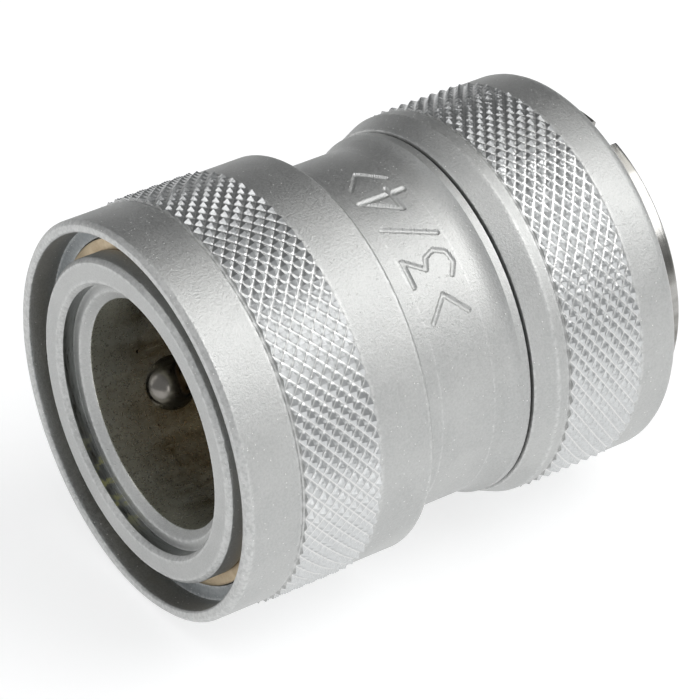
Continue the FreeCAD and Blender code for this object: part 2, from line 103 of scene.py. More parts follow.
# ---- shader helper ---------------------------------------------------------------------------
class Nodes:
    """Short way to put a shader tree together."""

    def __init__(self, tree: bpy.types.NodeTree) -> None:
        """Takes an empty node tree."""
        self.tree = tree

    def add(self, kind: str, values: Optional[dict] = None, **settings: object) -> bpy.types.Node:
        """Adds a node.

        Args:
            kind: the node's type.
            values: input name or number to a value, or to a socket that is linked to it.
            settings: properties of the node.

        Returns:
            The node.
        """
        node = self.tree.nodes.new(kind)
        for name, value in settings.items():
            setattr(node, name, value)
        for key, value in (values or {}).items():
            if isinstance(value, bpy.types.NodeSocket):
                self.tree.links.new(value, node.inputs[key])
            else:
                node.inputs[key].default_value = value
        return node

    def math(self, operation: str, *values: object) -> bpy.types.NodeSocket:
        """Result of one math operation on numbers or sockets."""
        return self.add("ShaderNodeMath", dict(enumerate(values)), operation=operation).outputs[0]

    def place(self) -> bpy.types.NodeSocket:
        """Object coordinates, in metres."""
        return self.add("ShaderNodeTexCoord").outputs["Object"]

    def wear_and_highlight(self) -> bpy.types.NodeSocket:
        """The mesh's own edge attribute: 1 on a worn corner, 0 away from it; the finishes lighten it,
        partly as wear and partly as a painted highlight.
        """
        return self.add("ShaderNodeAttribute", attribute_name="edge").outputs["Fac"]

    def noise(self, vector: bpy.types.NodeSocket, per_mm: float, detail: float = 3.0,
              rough: float = 0.55) -> bpy.types.NodeSocket:
        """Noise from 0 to 1 with about that many grains in a millimetre."""
        values = {"Vector": vector, "Scale": per_mm / MM, "Detail": detail, "Roughness": rough}
        return self.add("ShaderNodeTexNoise", values).outputs["Fac"]

    def span(self, value: bpy.types.NodeSocket, low: float, high: float, to_low: float = 0.0,
             to_high: float = 1.0) -> bpy.types.NodeSocket:
        """Value carried from one range to another, clamped and smooth."""
        values = {"Value": value, "From Min": low, "From Max": high, "To Min": to_low, "To Max": to_high}
        return self.add("ShaderNodeMapRange", values, interpolation_type="SMOOTHSTEP").outputs["Result"]

    def mix(self, factor: object, first: object, second: object) -> bpy.types.NodeSocket:
        """Colour between two colours."""
        values = {"Factor": factor, 6: first, 7: second}
        return self.add("ShaderNodeMix", values, data_type="RGBA").outputs[2]

    def axis_angle(self, vector: bpy.types.NodeSocket) -> tuple:
        """Angle round the coupler's axis in turns, and the place along it in metres."""
        split = self.add("ShaderNodeSeparateXYZ", {0: vector})
        angle = self.math("ARCTAN2", split.outputs["Z"], split.outputs["X"])
        return self.math("DIVIDE", angle, TURN), split.outputs["Y"]

    def radius(self, vector: bpy.types.NodeSocket) -> bpy.types.NodeSocket:
        """Distance from the coupler's axis in metres."""
        split = self.add("ShaderNodeSeparateXYZ", {0: vector})
        flat = self.add("ShaderNodeCombineXYZ", {"X": split.outputs["X"], "Z": split.outputs["Z"]})
        length = self.add("ShaderNodeVectorMath", {0: flat.outputs[0]}, operation="LENGTH")
        return length.outputs["Value"]

    def bump(self, height: bpy.types.NodeSocket, depth_mm: float, strength: float = 1.0,
             below: Optional[bpy.types.NodeSocket] = None) -> bpy.types.NodeSocket:
        """Normal bent by a height from 0 to 1 that is that deep."""
        values = {"Height": height, "Distance": depth_mm * MM, "Strength": strength}
        if below is not None:
            values["Normal"] = below
        return self.add("ShaderNodeBump", values).outputs["Normal"]


def new_material(name: str) -> tuple[bpy.types.Material, Nodes, bpy.types.Node]:
    """An empty node material.

    Args:
        name: the material's name.

    Returns:
        The material, its tree helper and its Principled shader, already wired to the output.
    """
    material = bpy.data.materials.new(name)
    material.use_nodes = True
    material.node_tree.nodes.clear()
    nodes = Nodes(material.node_tree)
    shader = nodes.add("ShaderNodeBsdfPrincipled")
    nodes.add("ShaderNodeOutputMaterial", {"Surface": shader.outputs[0]})
    return material, nodes, shader


def wire(nodes: Nodes, shader: bpy.types.Node, **inputs: object) -> None:
    """Sets or links the Principled shader's inputs, with _ for a space in a name."""
    for key, value in inputs.items():
        socket = shader.inputs[key.replace("_", " ")]
        if isinstance(value, bpy.types.NodeSocket):
            nodes.tree.links.new(value, socket)
        else:
            socket.default_value = value


def rgb(red: float, green: float, blue: float) -> tuple[float, float, float, float]:
    """Opaque linear colour."""
    return (red, green, blue, 1.0)


# ---- finishes --------------------------------------------------------------------------------
def scaled(tone: tuple, share: float) -> tuple:
    """A colour with its red, green and blue scaled by a share."""
    return tuple(share * part for part in tone[:3]) + (1.0,)


@dataclass(frozen=True)
class SatinNickel:
    """Nickel plate with a bead-blast finish: fine grain, faint clouds, worn corners lightened partly as
    a painted highlight, and painted glints.
    """

    name: str = "satin_nickel_plate"
    tone: tuple = rgb(0.475, 0.48, 0.472)
    cloud: tuple = rgb(0.43, 0.436, 0.43)
    polish_and_highlight: tuple = rgb(0.88, 0.88, 0.87)
    grain_per_mm: float = 4.2
    grain_depth_mm: float = 0.06
    roughness: float = 0.48

    def material(self) -> bpy.types.Material:
        """Builds the finish."""
        material, nodes, shader = new_material(self.name)
        place = nodes.place()
        grain = nodes.noise(place, self.grain_per_mm, 4.0, 0.7)
        clouds = nodes.noise(place, 0.12, 4.0, 0.6)
        # Painted glints: rare specks lightened towards the polish colour, with a small bump.
        cells = nodes.add("ShaderNodeTexVoronoi", {"Vector": place, "Scale": 2.4 / MM})
        painted_glint = nodes.span(cells.outputs["Distance"], 0.20, 0.08)
        rare = nodes.span(cells.outputs["Color"], 0.66, 0.70)
        painted_glint = nodes.math("MULTIPLY", painted_glint, rare)
        # Edge mask: worn corners, lightened partly as wear and partly as a painted highlight; the wear
        # also lowers roughness.
        wear_and_highlight = nodes.math("MULTIPLY", nodes.wear_and_highlight(), nodes.span(nodes.noise(place, 2.2, 4.0), 0.35, 0.62))
        tone = nodes.mix(nodes.span(clouds, 0.35, 0.65), self.cloud, self.tone)
        tone = nodes.mix(nodes.span(grain, 0.30, 0.70, 0.0, 0.22), tone, self.polish_and_highlight)
        # The polish colour goes on the painted glints and on the edge wear, which is partly a painted
        # highlight.
        glint_and_wear_highlight = nodes.math("MAXIMUM", painted_glint, nodes.math("MULTIPLY", wear_and_highlight, 0.30))
        tone = nodes.mix(glint_and_wear_highlight, tone, self.polish_and_highlight)
        rough = nodes.span(grain, 0.3, 0.7, self.roughness - 0.05, self.roughness + 0.07)
        rough = nodes.math("SUBTRACT", rough, nodes.math("MULTIPLY", wear_and_highlight, 0.06))
        wire(nodes, shader, Base_Color=tone, Metallic=1.0, Roughness=rough,
             Normal=nodes.bump(painted_glint, 0.05, 1.0, nodes.bump(grain, self.grain_depth_mm)))
        return material


@dataclass(frozen=True)
class KnurledNickel:
    """Plated knurl: grey rolled facets between slightly rougher grooves, which are painted lighter as a
    highlight.
    """

    name: str
    rows_round: int
    start_mm: float
    period_mm: float
    tone: tuple = rgb(0.60, 0.61, 0.61)
    # Painted highlight colour of the grooves.
    groove_highlight: tuple = rgb(0.72, 0.72, 0.71)
    crumple: float = 0.0

    def material(self) -> bpy.types.Material:
        """Builds the finish: grooves lie where rows x turns +- place / period is whole."""
        material, nodes, shader = new_material(self.name)
        place = nodes.place()
        turns, along = nodes.axis_angle(place)
        around = nodes.math("MULTIPLY", turns, float(self.rows_round))
        offset = nodes.math("SUBTRACT", along, self.start_mm * MM)
        down = nodes.math("DIVIDE", offset, self.period_mm * MM)
        # Groove mask: the narrow grooves take the lighter colour as a painted highlight.
        lines = []
        for join in ("ADD", "SUBTRACT"):
            phase = nodes.math("PINGPONG", nodes.math(join, around, down), 0.5)
            lines.append(nodes.span(phase, 0.075, 0.045))
        line = nodes.math("MAXIMUM", *lines)
        grain = nodes.noise(place, 5.0, 4.0, 0.7)
        crumple = nodes.noise(place, 2.2, 3.0, 0.6)
        tone = nodes.mix(nodes.span(crumple, 0.3, 0.7), scaled(self.tone, 0.88), self.tone)
        wire(nodes, shader, Base_Color=nodes.mix(line, tone, self.groove_highlight), Metallic=1.0,
             Roughness=nodes.span(line, 0.0, 1.0, 0.29, 0.32),
             Normal=nodes.bump(grain, 0.012, 1.0, nodes.bump(crumple, 0.04 + self.crumple)))
        return material


@dataclass(frozen=True)
class TurnedNickel:
    """Bright turned nickel with fine feed lines round the axis."""

    name: str = "turned_nickel"
    tone: tuple = rgb(0.42, 0.415, 0.40)
    roughness: float = 0.14
    feed_per_mm: float = 9.0

    def material(self) -> bpy.types.Material:
        """Builds the finish: the lines are noise stretched round the axis."""
        material, nodes, shader = new_material(self.name)
        place = nodes.place()
        turns, along = nodes.axis_angle(place)
        reach = nodes.radius(place)
        lines = nodes.add("ShaderNodeCombineXYZ", {"X": nodes.math("MULTIPLY", turns, 0.002),
                                                   "Y": along, "Z": reach})
        feed = nodes.noise(lines.outputs[0], self.feed_per_mm, 2.0)
        bands = nodes.add("ShaderNodeCombineXYZ", {"X": nodes.math("MULTIPLY", turns, 0.03),
                                                   "Y": nodes.math("MULTIPLY", along, 0.10)})
        stain = nodes.noise(bands.outputs[0], 0.7, 3.0)
        tone = nodes.mix(nodes.span(stain, 0.42, 0.58), self.tone, rgb(0.22, 0.215, 0.20))
        wire(nodes, shader, Base_Color=tone, Metallic=1.0,
             Roughness=nodes.span(feed, 0.2, 0.8, self.roughness, self.roughness + 0.14),
             Normal=nodes.bump(feed, 0.008))
        return material


@dataclass(frozen=True)
class AgedBore:
    """Worn bore: dull olive brass showing through, dark film, specks and long scratches, and paler
    towards the mouth as a painted reflection of the light coming in there.
    """

    name: str = "aged_bore"
    pale: tuple = rgb(0.60, 0.61, 0.54)
    brown: tuple = rgb(0.26, 0.225, 0.145)
    speck: tuple = rgb(0.015, 0.012, 0.010)

    def material(self) -> bpy.types.Material:
        """Builds the finish."""
        material, nodes, shader = new_material(self.name)
        place = nodes.place()
        turns, along = nodes.axis_angle(place)
        bands = nodes.add("ShaderNodeCombineXYZ", {"X": nodes.math("MULTIPLY", turns, 0.06),
                                                   "Y": nodes.math("MULTIPLY", along, 0.25)})
        banded = nodes.math("MULTIPLY", nodes.noise(bands.outputs[0], 0.45, 5.0, 0.65), 0.6)
        mottled = nodes.math("MULTIPLY", nodes.noise(place, 0.5, 5.0, 0.7), 0.4)
        film = nodes.math("ADD", banded, mottled)
        # Painted reflection: the film thins over the first 6 mm from the mouth end, so the bore is paler
        # there.
        mouth_reflection = nodes.span(along, 0.0, 6.0 * MM, 0.75, 0.0)
        film = nodes.math("MULTIPLY", nodes.span(film, 0.34, 0.66), nodes.math("SUBTRACT", 1.0, mouth_reflection))
        tone = nodes.mix(film, self.pale, self.brown)
        specks = nodes.add("ShaderNodeTexVoronoi", {"Vector": place, "Scale": 0.55 / MM})
        dots = nodes.math("MULTIPLY", nodes.span(specks.outputs["Distance"], 0.16, 0.09),
                          nodes.span(specks.outputs["Color"], 0.55, 0.58))
        lines = nodes.add("ShaderNodeCombineXYZ", {"X": nodes.math("MULTIPLY", turns, 0.05),
                                                   "Y": nodes.math("MULTIPLY", along, 0.06)})
        scratch = nodes.span(nodes.noise(lines.outputs[0], 4.0, 2.0), 0.63, 0.70)
        tone = nodes.mix(nodes.math("MULTIPLY", scratch, 0.55), tone, rgb(0.62, 0.61, 0.52))
        grain = nodes.noise(place, 3.0, 3.0)
        wire(nodes, shader, Base_Color=nodes.mix(dots, tone, self.speck), Metallic=0.85,
             Roughness=nodes.span(grain, 0.3, 0.7, 0.24, 0.38),
             Normal=nodes.bump(scratch, 0.01, 1.0, nodes.bump(grain, 0.01)))
        return material


@dataclass(frozen=True)
class StainedTurning:
    """Counterbore wall with turning marks and a little green and yellow deposit low down."""

    name: str = "stained_turning"
    tone: tuple = rgb(0.24, 0.25, 0.242)
    deposit: tuple = rgb(0.22, 0.22, 0.10)

    def material(self) -> bpy.types.Material:
        """Builds the finish."""
        material, nodes, shader = new_material(self.name)
        place = nodes.place()
        turns, along = nodes.axis_angle(place)
        lines = nodes.add("ShaderNodeCombineXYZ", {"X": nodes.math("MULTIPLY", turns, 0.01),
                                                   "Y": along, "Z": nodes.radius(place)})
        feed = nodes.noise(lines.outputs[0], 5.0, 3.0)
        low = nodes.span(nodes.math("ABSOLUTE", nodes.math("ADD", turns, 0.33)), 0.09, 0.02)
        patch = nodes.math("MULTIPLY", low, nodes.span(nodes.noise(place, 0.8, 4.0, 0.65), 0.48, 0.60))
        tone = nodes.mix(nodes.span(feed, 0.3, 0.7), scaled(self.tone, 0.7), self.tone)
        wire(nodes, shader, Base_Color=nodes.mix(patch, tone, self.deposit),
             Metallic=nodes.math("SUBTRACT", 1.0, patch),
             Roughness=nodes.span(feed, 0.2, 0.8, 0.24, 0.44), Normal=nodes.bump(feed, 0.02))
        return material


@dataclass(frozen=True)
class PlainMetal:
    """Metal with grain, faint stains and worn corners, lightened partly as wear and partly as a painted
    highlight.
    """

    name: str
    tone: tuple
    stain: tuple
    roughness: float
    grain_per_mm: float = 2.5
    grain_depth_mm: float = 0.012

    def material(self) -> bpy.types.Material:
        """Builds the finish."""
        material, nodes, shader = new_material(self.name)
        place = nodes.place()
        grain = nodes.noise(place, self.grain_per_mm, 4.0, 0.6)
        stain = nodes.span(nodes.noise(place, 0.3, 4.0, 0.6), 0.42, 0.68)
        tone = nodes.mix(stain, self.tone, self.stain)
        # Worn corners: the tone lightened by 30 percent, partly wear and partly a painted highlight.
        lighter = tuple(min(1.0, 1.3 * c) for c in self.tone[:3]) + (1.0,)
        tone = nodes.mix(nodes.math("MULTIPLY", nodes.wear_and_highlight(), 0.6), tone, lighter)
        wire(nodes, shader, Base_Color=tone, Metallic=1.0,
             Roughness=nodes.span(grain, 0.3, 0.7, self.roughness * 0.8, self.roughness * 1.25),
             Normal=nodes.bump(grain, self.grain_depth_mm))
        return material


@dataclass(frozen=True)
class Moulding:
    """Rubber, plastic or fibre: matt, with a fine skin and a slow change of tone."""

    name: str
    tone: tuple
    shade: tuple
    roughness: float
    grain_per_mm: float = 3.0
    grain_depth_mm: float = 0.02

    def material(self) -> bpy.types.Material:
        """Builds the finish."""
        material, nodes, shader = new_material(self.name)
        place = nodes.place()
        grain = nodes.noise(place, self.grain_per_mm, 4.0, 0.65)
        drift = nodes.span(nodes.noise(place, 0.4, 3.0), 0.35, 0.65)
        wire(nodes, shader, Base_Color=nodes.mix(drift, self.tone, self.shade),
             Roughness=nodes.span(grain, 0.3, 0.7, self.roughness - 0.08, self.roughness + 0.08),
             Normal=nodes.bump(grain, self.grain_depth_mm))
        return material


@dataclass(frozen=True)
class Backdrop:
    """Plain pale floor."""

    name: str = "pale_floor"
    tone: tuple = rgb(0.45, 0.455, 0.46)

    def material(self) -> bpy.types.Material:
        """Builds the finish."""
        material, nodes, shader = new_material(self.name)
        drift = nodes.noise(nodes.place(), 0.004, 2.0)
        shade = scaled(self.tone, 0.985)
        wire(nodes, shader, Base_Color=nodes.mix(drift, self.tone, shade), Roughness=0.9,
             Emission_Color=rgb(1.0, 1.0, 1.0), Emission_Strength=0.66)
        return material


# ---- meshes ----------------------------------------------------------------------------------
@dataclass
class Outline:
    """A dense turned outline: radius, place and edge wear of each row, and its segments' zones; the edge
    wear is lightened partly as a painted highlight.
    """

    radius: Array
    place: Array
    edge: Array
    zone: Array


def dense_outline(corners: Sequence[tuple], rounding: float, step: float,
                  wear_and_highlight_reach: float = 0.25, sharp: Sequence[int] = ()) -> Outline:
    """Rounds a closed outline's corners and fills its runs with points.

    Each corner becomes a three-point fillet: the two tangent points at distance t from the corner
    and the point half-way between the corner and their middle.  A run is cut into equal lengths
    no longer than the step, with one more point close to each corner so that the edge wear, also a
    painted highlight, stays there.

    Args:
        corners: (radius, place) or (radius, place, zone) of each corner in mm; the zone belongs
            to the run that starts at that corner.
        rounding: tangent length of the fillets in mm, at most 0.3 of the shorter run.
        step: longest piece of a run in mm.
        wear_and_highlight_reach: how far the edge wear, lightened partly as a painted highlight, reaches
            from a corner in mm.
        sharp: numbers of hidden corners that stay sharp, with no wear and no painted highlight, to save
            faces.

    Returns:
        The dense outline, in mm.
    """
    points = np.array([c[:2] for c in corners], dtype=float)
    zones = [c[2] if len(c) > 2 else 0 for c in corners]
    count = len(points)
    ahead = np.roll(points, -1, axis=0) - points
    length = np.hypot(ahead[:, 0], ahead[:, 1])
    unit = ahead / length[:, None]
    cut = np.minimum(rounding, 0.3 * np.minimum(length, np.roll(length, 1)))
    cut[list(sharp)] = 0.0
    rows: list[Array] = []
    wear_and_highlight: list[Array] = []
    marks: list[Array] = []
    for index in range(count):
        after = (index + 1) % count
        corner = points[index]
        before_unit = unit[index - 1]
        entry = corner - before_unit * cut[index]
        leave = corner + unit[index] * cut[index]
        middle = 0.5 * (0.5 * (entry + leave) + corner)
        far = points[after] - unit[index] * cut[after]
        run = np.hypot(*(far - leave))
        pieces = max(1, int(math.ceil(run / step)))
        inner = np.linspace(0.0, run, pieces + 1)[1:-1]
        hidden = index in sharp
        if run > 2.5 * wear_and_highlight_reach:
            near = ([] if hidden else [wear_and_highlight_reach]) + ([] if after in sharp else [run - wear_and_highlight_reach])
            inner = np.unique(np.concatenate([inner, near]))
        line = leave[None, :] + inner[:, None] * unit[index][None, :]
        fillet = [corner] if hidden else [entry, middle, leave]
        rows.append(np.vstack(fillet + [line]))
        wear_and_highlight.append(np.concatenate([[0.0] if hidden else [0.8, 1.0, 0.8], np.zeros(len(line))]))
        first = [zones[index]] if hidden else [zones[index - 1], zones[index], zones[index]]
        marks.append(np.concatenate([first, np.full(len(line), zones[index])]))
    dense = np.vstack(rows)
    return Outline(dense[:, 0], dense[:, 1], np.concatenate(wear_and_highlight), np.concatenate(marks).astype(int))


def swap_run(outline: Outline, mark: int, places: Array, zone: Array, skip: int = 0) -> Outline:
    """Swaps the rows of one run for rows at other places, all at the run's own radius.

    Args:
        outline: the outline that holds the run.
        mark: zone number of the run.
        places: places of the new rows in mm.
        zone: zone numbers of the new rows.
        skip: how many rows after the run are left out with it.

    Returns:
        The outline with the new rows.
    """
    rows = np.flatnonzero(outline.zone == mark)
    first, rest = rows[0], rows[-1] + 1 + skip
    radius = np.full(len(places), outline.radius[rows[len(rows) // 2]])
    pairs = ((outline.radius, radius), (outline.place, places),
             (outline.edge, np.zeros(len(places))), (outline.zone, zone))
    return Outline(*(np.concatenate([old[:first], new, old[rest:]]) for old, new in pairs))


def even_angles(count: int) -> Array:
    """That many equal steps round the axis, in radians."""
    return np.arange(count) * (TURN / count)


def sector_angles(count: int, start: float, end: float, fine: int) -> Array:
    """Even steps round the axis, with a finer stretch between two angles in degrees."""
    low, high = math.radians(start), math.radians(end)
    inside = np.linspace(low, high, fine)
    outside = np.linspace(high, low + TURN, count + 1)[1:-1]
    return np.concatenate([inside, outside])


def finish_mesh(name: str, vertices: Array, faces: Array, zone: Optional[Array] = None,
                edge: Optional[Array] = None, crease: float = 32.0,
                flat: Optional[Array] = None) -> bpy.types.Object:
    """Makes an object of triangles or quads with faces pointing outwards.

    Args:
        name: the piece's name.
        vertices: (n, 3) places in mm.
        faces: (m, 3) or (m, 4) corner numbers.
        zone: material number of each face.
        edge: wear of each vertex, which the finishes lighten partly as a painted highlight.
        crease: edges that turn by more than this many degrees look sharp.
        flat: True for each face that has no smoothing.

    Returns:
        The object, in metres at the origin.
    """
    width = faces.shape[1]
    mesh = bpy.data.meshes.new(name)
    mesh.vertices.add(len(vertices))
    mesh.vertices.foreach_set("co", (vertices * MM).astype(np.float32).ravel())
    mesh.loops.add(faces.size)
    mesh.loops.foreach_set("vertex_index", faces.astype(np.int32).ravel())
    mesh.polygons.add(len(faces))
    mesh.polygons.foreach_set("loop_start", np.arange(0, faces.size, width, dtype=np.int32))
    if zone is not None:
        mesh.polygons.foreach_set("material_index", zone.astype(np.int32))
    smooth = np.ones(len(faces), dtype=bool) if flat is None else ~flat
    mesh.polygons.foreach_set("use_smooth", smooth)
    mesh.update(calc_edges=True)
    mesh.validate()
    if edge is not None:
        mesh.attributes.new("edge", "FLOAT", "POINT").data.foreach_set("value", edge.astype(np.float32))
    mesh.set_sharp_from_angle(angle=math.radians(crease))
    piece = bpy.data.objects.new(name, mesh)
    bpy.context.scene.collection.objects.link(piece)
    return piece


def turned(name: str, outline: Outline, angles: Array, relief: Optional[Relief] = None,
           split: Optional[Array] = None, flat_rows: Optional[Array] = None,
           closed: bool = True, crease: float = 32.0) -> bpy.types.Object:
    """Turns a closed outline round the Y axis.

    The grid is P(a, i) = ((r_i + d) cos a, y_i, (r_i + d) sin a), where d = relief(a, r_i, y_i).

    Args:
        name: the piece's name.
        outline: the dense closed outline in mm.
        angles: the angle of each column in radians.
        relief: radial change in mm for angles, radii and places on the grid.
        split: True for grid cells (column, row) that are cut along their other diagonal.
        flat_rows: True for rows whose cells have no smoothing.
        closed: False leaves the piece open from the last angle to the first, with end caps.
        crease: edges that turn by more than this many degrees look sharp.

    Returns:
        The object.
    """
    columns, rows = len(angles), len(outline.radius)
    turn = angles[:, None] + np.zeros((1, rows))
    radius = np.broadcast_to(outline.radius, turn.shape).copy()
    place = np.broadcast_to(outline.place, turn.shape)
    if relief is not None:
        radius = radius + relief(turn, radius, place)
    vertices = np.stack([radius * np.cos(turn), place, radius * np.sin(turn)], axis=-1).reshape(-1, 3)
    spans = columns if closed else columns - 1
    column, row = np.meshgrid(np.arange(spans), np.arange(rows), indexing="ij")
    next_column, next_row = (column + 1) % columns, (row + 1) % rows
    a = column * rows + row
    b = next_column * rows + row
    c = next_column * rows + next_row
    d = column * rows + next_row
    area = np.sum(outline.radius * np.roll(outline.place, -1)
                  - np.roll(outline.radius, -1) * outline.place)
    if split is None:
        split = np.zeros(a.shape, dtype=bool)
    first = np.where(split[..., None], np.stack([a, b, d], -1), np.stack([a, b, c], -1))
    second = np.where(split[..., None], np.stack([b, c, d], -1), np.stack([a, c, d], -1))
    faces = np.stack([first, second], axis=2).reshape(-1, 3)
    if area > 0.0:
        faces = faces[:, ::-1]
    zone = np.repeat(np.broadcast_to(outline.zone, a.shape).ravel(), 2)
    flat = None
    if flat_rows is not None:
        flat = np.repeat(np.broadcast_to(flat_rows, a.shape).ravel(), 2)
    edge = np.tile(outline.edge, columns)
    piece = finish_mesh(name, vertices, faces, zone, edge, crease, flat)
    if not closed:
        cap_ends(piece, rows, columns, area > 0.0)
    return piece


def cap_ends(piece: bpy.types.Object, rows: int, columns: int, flipped: bool) -> None:
    """Closes the two open ends of a part-turned grid with one face each."""
    mesh = piece.data
    count = len(mesh.loops)
    first = np.arange(rows)
    last = (columns - 1) * rows + np.arange(rows)
    ends = [first[::-1], last] if flipped else [first, last[::-1]]
    mesh.loops.add(2 * rows)
    mesh.polygons.add(2)
    corners = np.empty(len(mesh.loops), dtype=np.int32)
    mesh.loops.foreach_get("vertex_index", corners)
    corners[count:] = np.concatenate(ends)
    mesh.loops.foreach_set("vertex_index", corners)
    starts = np.empty(len(mesh.polygons), dtype=np.int32)
    mesh.polygons.foreach_get("loop_start", starts)
    starts[-2:] = (count, count + rows)
    mesh.polygons.foreach_set("loop_start", starts)
    mesh.update(calc_edges=True)
    mesh.validate()
    mesh.set_sharp_from_angle(angle=math.radians(32.0))


def cut(piece: bpy.types.Object, cutters: Sequence[bpy.types.Object],
        material: bpy.types.Material, crease: float = 32.0) -> None:
    """Cuts solid shapes out of a piece for good, and removes them.

    Args:
        piece: the piece that is cut; it has its own materials already.
        cutters: closed solids to take away.
        material: material of the cut faces.
        crease: angle in degrees past which an edge is shown sharp.
    """
    for cutter in cutters:
        lay(cutter, (material,))
        tool = piece.modifiers.new("cut", "BOOLEAN")
        tool.operation = "DIFFERENCE"
        tool.solver = "EXACT"
        tool.material_mode = "TRANSFER"
        tool.object = cutter
        graph = bpy.context.evaluated_depsgraph_get()
        result = bpy.data.meshes.new_from_object(piece.evaluated_get(graph))
        piece.modifiers.remove(tool)
        piece.data = result
        bpy.data.objects.remove(cutter)
    piece.data.set_sharp_from_angle(angle=math.radians(crease))


def outward(angle: float) -> Array:
    """Unit vector away from the axis at an angle in degrees."""
    return np.array([math.cos(math.radians(angle)), 0.0, math.sin(math.radians(angle))])


def bullet(name: str, centre: Array, direction: Array, radius: float,
           length: float) -> bpy.types.Object:
    """Half a ball with a straight shank, turned about a direction, to cut a round-ended hole.

    The grid is P(a, t) = centre + s(t) (cos a u + sin a v) + h(t) w, with s = R sin t and
    h = -R cos t over the ball's half, then s = R and h = length, and both ends closed.

    Args:
        name: name of the object.
        centre: centre of the ball in mm.
        direction: unit vector w along the shank.
        radius: radius R of the ball and the shank in mm.
        length: how far the shank reaches from the centre in mm.

    Returns:
        The cutter.
    """
    arc = np.linspace(0.0, math.pi / 2, 14)[1:]
    across = np.concatenate([radius * np.sin(arc), [radius]])
    along = np.concatenate([-radius * np.cos(arc), [length]])
    turn = even_angles(48)
    side = np.array([0.0, 1.0, 0.0])
    other = np.cross(direction, side)
    ring = np.cos(turn)[:, None] * side + np.sin(turn)[:, None] * other
    grid = centre + across[None, :, None] * ring[:, None, :] + along[None, :, None] * direction
    vertices = np.vstack([grid.reshape(-1, 3), centre - radius * direction, centre + length * direction])
    return finish_mesh(name, vertices, capped_grid_faces(len(turn), len(across)))


def capped_grid_faces(columns: int, rows: int) -> Array:
    """Triangles of a tube grid whose first and last rows close on two extra vertices.

    Args:
        columns: columns of the grid, which meet round the tube.
        rows: rows of the grid along the tube.

    Returns:
        Vertex numbers of each triangle.
    """
    column, row = np.meshgrid(np.arange(columns), np.arange(rows - 1), indexing="ij")
    after = (column + 1) % columns
    a, b = column * rows + row, after * rows + row
    c, d = after * rows + row + 1, column * rows + row + 1
    sides = np.stack([np.stack([a, c, b], -1), np.stack([a, d, c], -1)], 2).reshape(-1, 3)
    ring = np.arange(columns)
    turn = (ring + 1) % columns
    low = np.stack([np.full(columns, columns * rows), ring * rows, turn * rows], -1)
    high = np.stack([np.full(columns, columns * rows + 1), turn * rows + rows - 1,
                     ring * rows + rows - 1], -1)
    return np.vstack([sides, low, high])


def ball(name: str, centre: Array, radius: float) -> bpy.types.Object:
    """A ball: P(a, t) = centre + R (sin t cos a, -cos t, sin t sin a), closed at both poles.

    Args:
        name: name of the object.
        centre: its centre in mm.
        radius: its radius R in mm.

    Returns:
        The ball.
    """
    columns, rows = 96, 47
    polar = np.linspace(0.0, math.pi, rows + 2)[1:-1]
    turn = even_angles(columns)
    grid = np.stack([np.sin(polar)[None, :] * np.cos(turn)[:, None],
                     np.broadcast_to(-np.cos(polar), (columns, rows)),
                     np.sin(polar)[None, :] * np.sin(turn)[:, None]], axis=-1)
    poles = centre + radius * np.array([[0.0, -1.0, 0.0], [0.0, 1.0, 0.0]])
    vertices = np.vstack([(centre + radius * grid).reshape(-1, 3), poles])
    return finish_mesh(name, vertices, capped_grid_faces(columns, rows)[:, ::-1])


def coil(name: str, mean_r: float, wire_r: float, turns: float, start: float,
         end: float) -> bpy.types.Object:
    """Round-wire spring with closed ends.

    The wire's middle is C(t) = (R cos t, y(t), R sin t), where y rises as a smooth step whose ends
    are flat, so that the end coils close.  Its skin is C + w (cos s n + sin s b), with n outward
    from the axis and b square to n and to the wire.

    Args:
        name: name of the object.
        mean_r: radius R of the wire's middle in mm.
        wire_r: radius w of the wire in mm.
        turns: turns of the coil, closed ends included.
        start: first place of the spring in mm.
        end: last place of the spring in mm.

    Returns:
        The spring.
    """
    sides = 14
    steps = int(56 * turns)
    part = np.linspace(0.0, 1.0, steps)
    eased = np.clip((part - 0.07) / 0.86, 0.0, 1.0)
    rise = 0.35 * eased * eased * (3.0 - 2.0 * eased) + 0.65 * eased
    angle = TURN * turns * part
    y = start + wire_r + (end - start - 2.0 * wire_r) * rise
    middle = np.stack([mean_r * np.cos(angle), y, mean_r * np.sin(angle)], -1)
    tangent = np.gradient(middle, axis=0)
    tangent /= np.linalg.norm(tangent, axis=1, keepdims=True)
    normal = np.stack([np.cos(angle), np.zeros(steps), np.sin(angle)], -1)
    across = np.cross(tangent, normal)
    around = even_angles(sides)
    skin = (middle[None] + wire_r * (np.cos(around)[:, None, None] * normal[None]
                                     + np.sin(around)[:, None, None] * across[None]))
    skin[..., 1] = np.clip(skin[..., 1], start, end)
    vertices = np.vstack([skin.reshape(-1, 3), middle[0], middle[-1]])
    return finish_mesh(name, vertices, capped_grid_faces(sides, steps)[:, ::-1])


def lay(piece: bpy.types.Object, materials: Sequence[bpy.types.Material]) -> None:
    """Gives a piece its materials in order, unless it has them already."""
    if not piece.data.materials:
        for material in materials:
            piece.data.materials.append(material)


def dress(piece: bpy.types.Object, body: Body, slot: Slot, materials: Sequence[bpy.types.Material],
          *nodes: str) -> bpy.types.Object:
    """Gives a piece its materials, body and the CAD nodes it stands for.

    Args:
        piece: the piece.
        body: the body it rides on.
        slot: its material slot; not used.
        materials: its materials, in the order of its zones.
        nodes: names of the CAD nodes that it replaces.

    Returns:
        The same piece.
    """
    lay(piece, materials)
    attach(piece, body.value)
    if nodes:
        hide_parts(*nodes)
    log.info("%s: %d faces", piece.name, len(piece.data.polygons))
    return piece


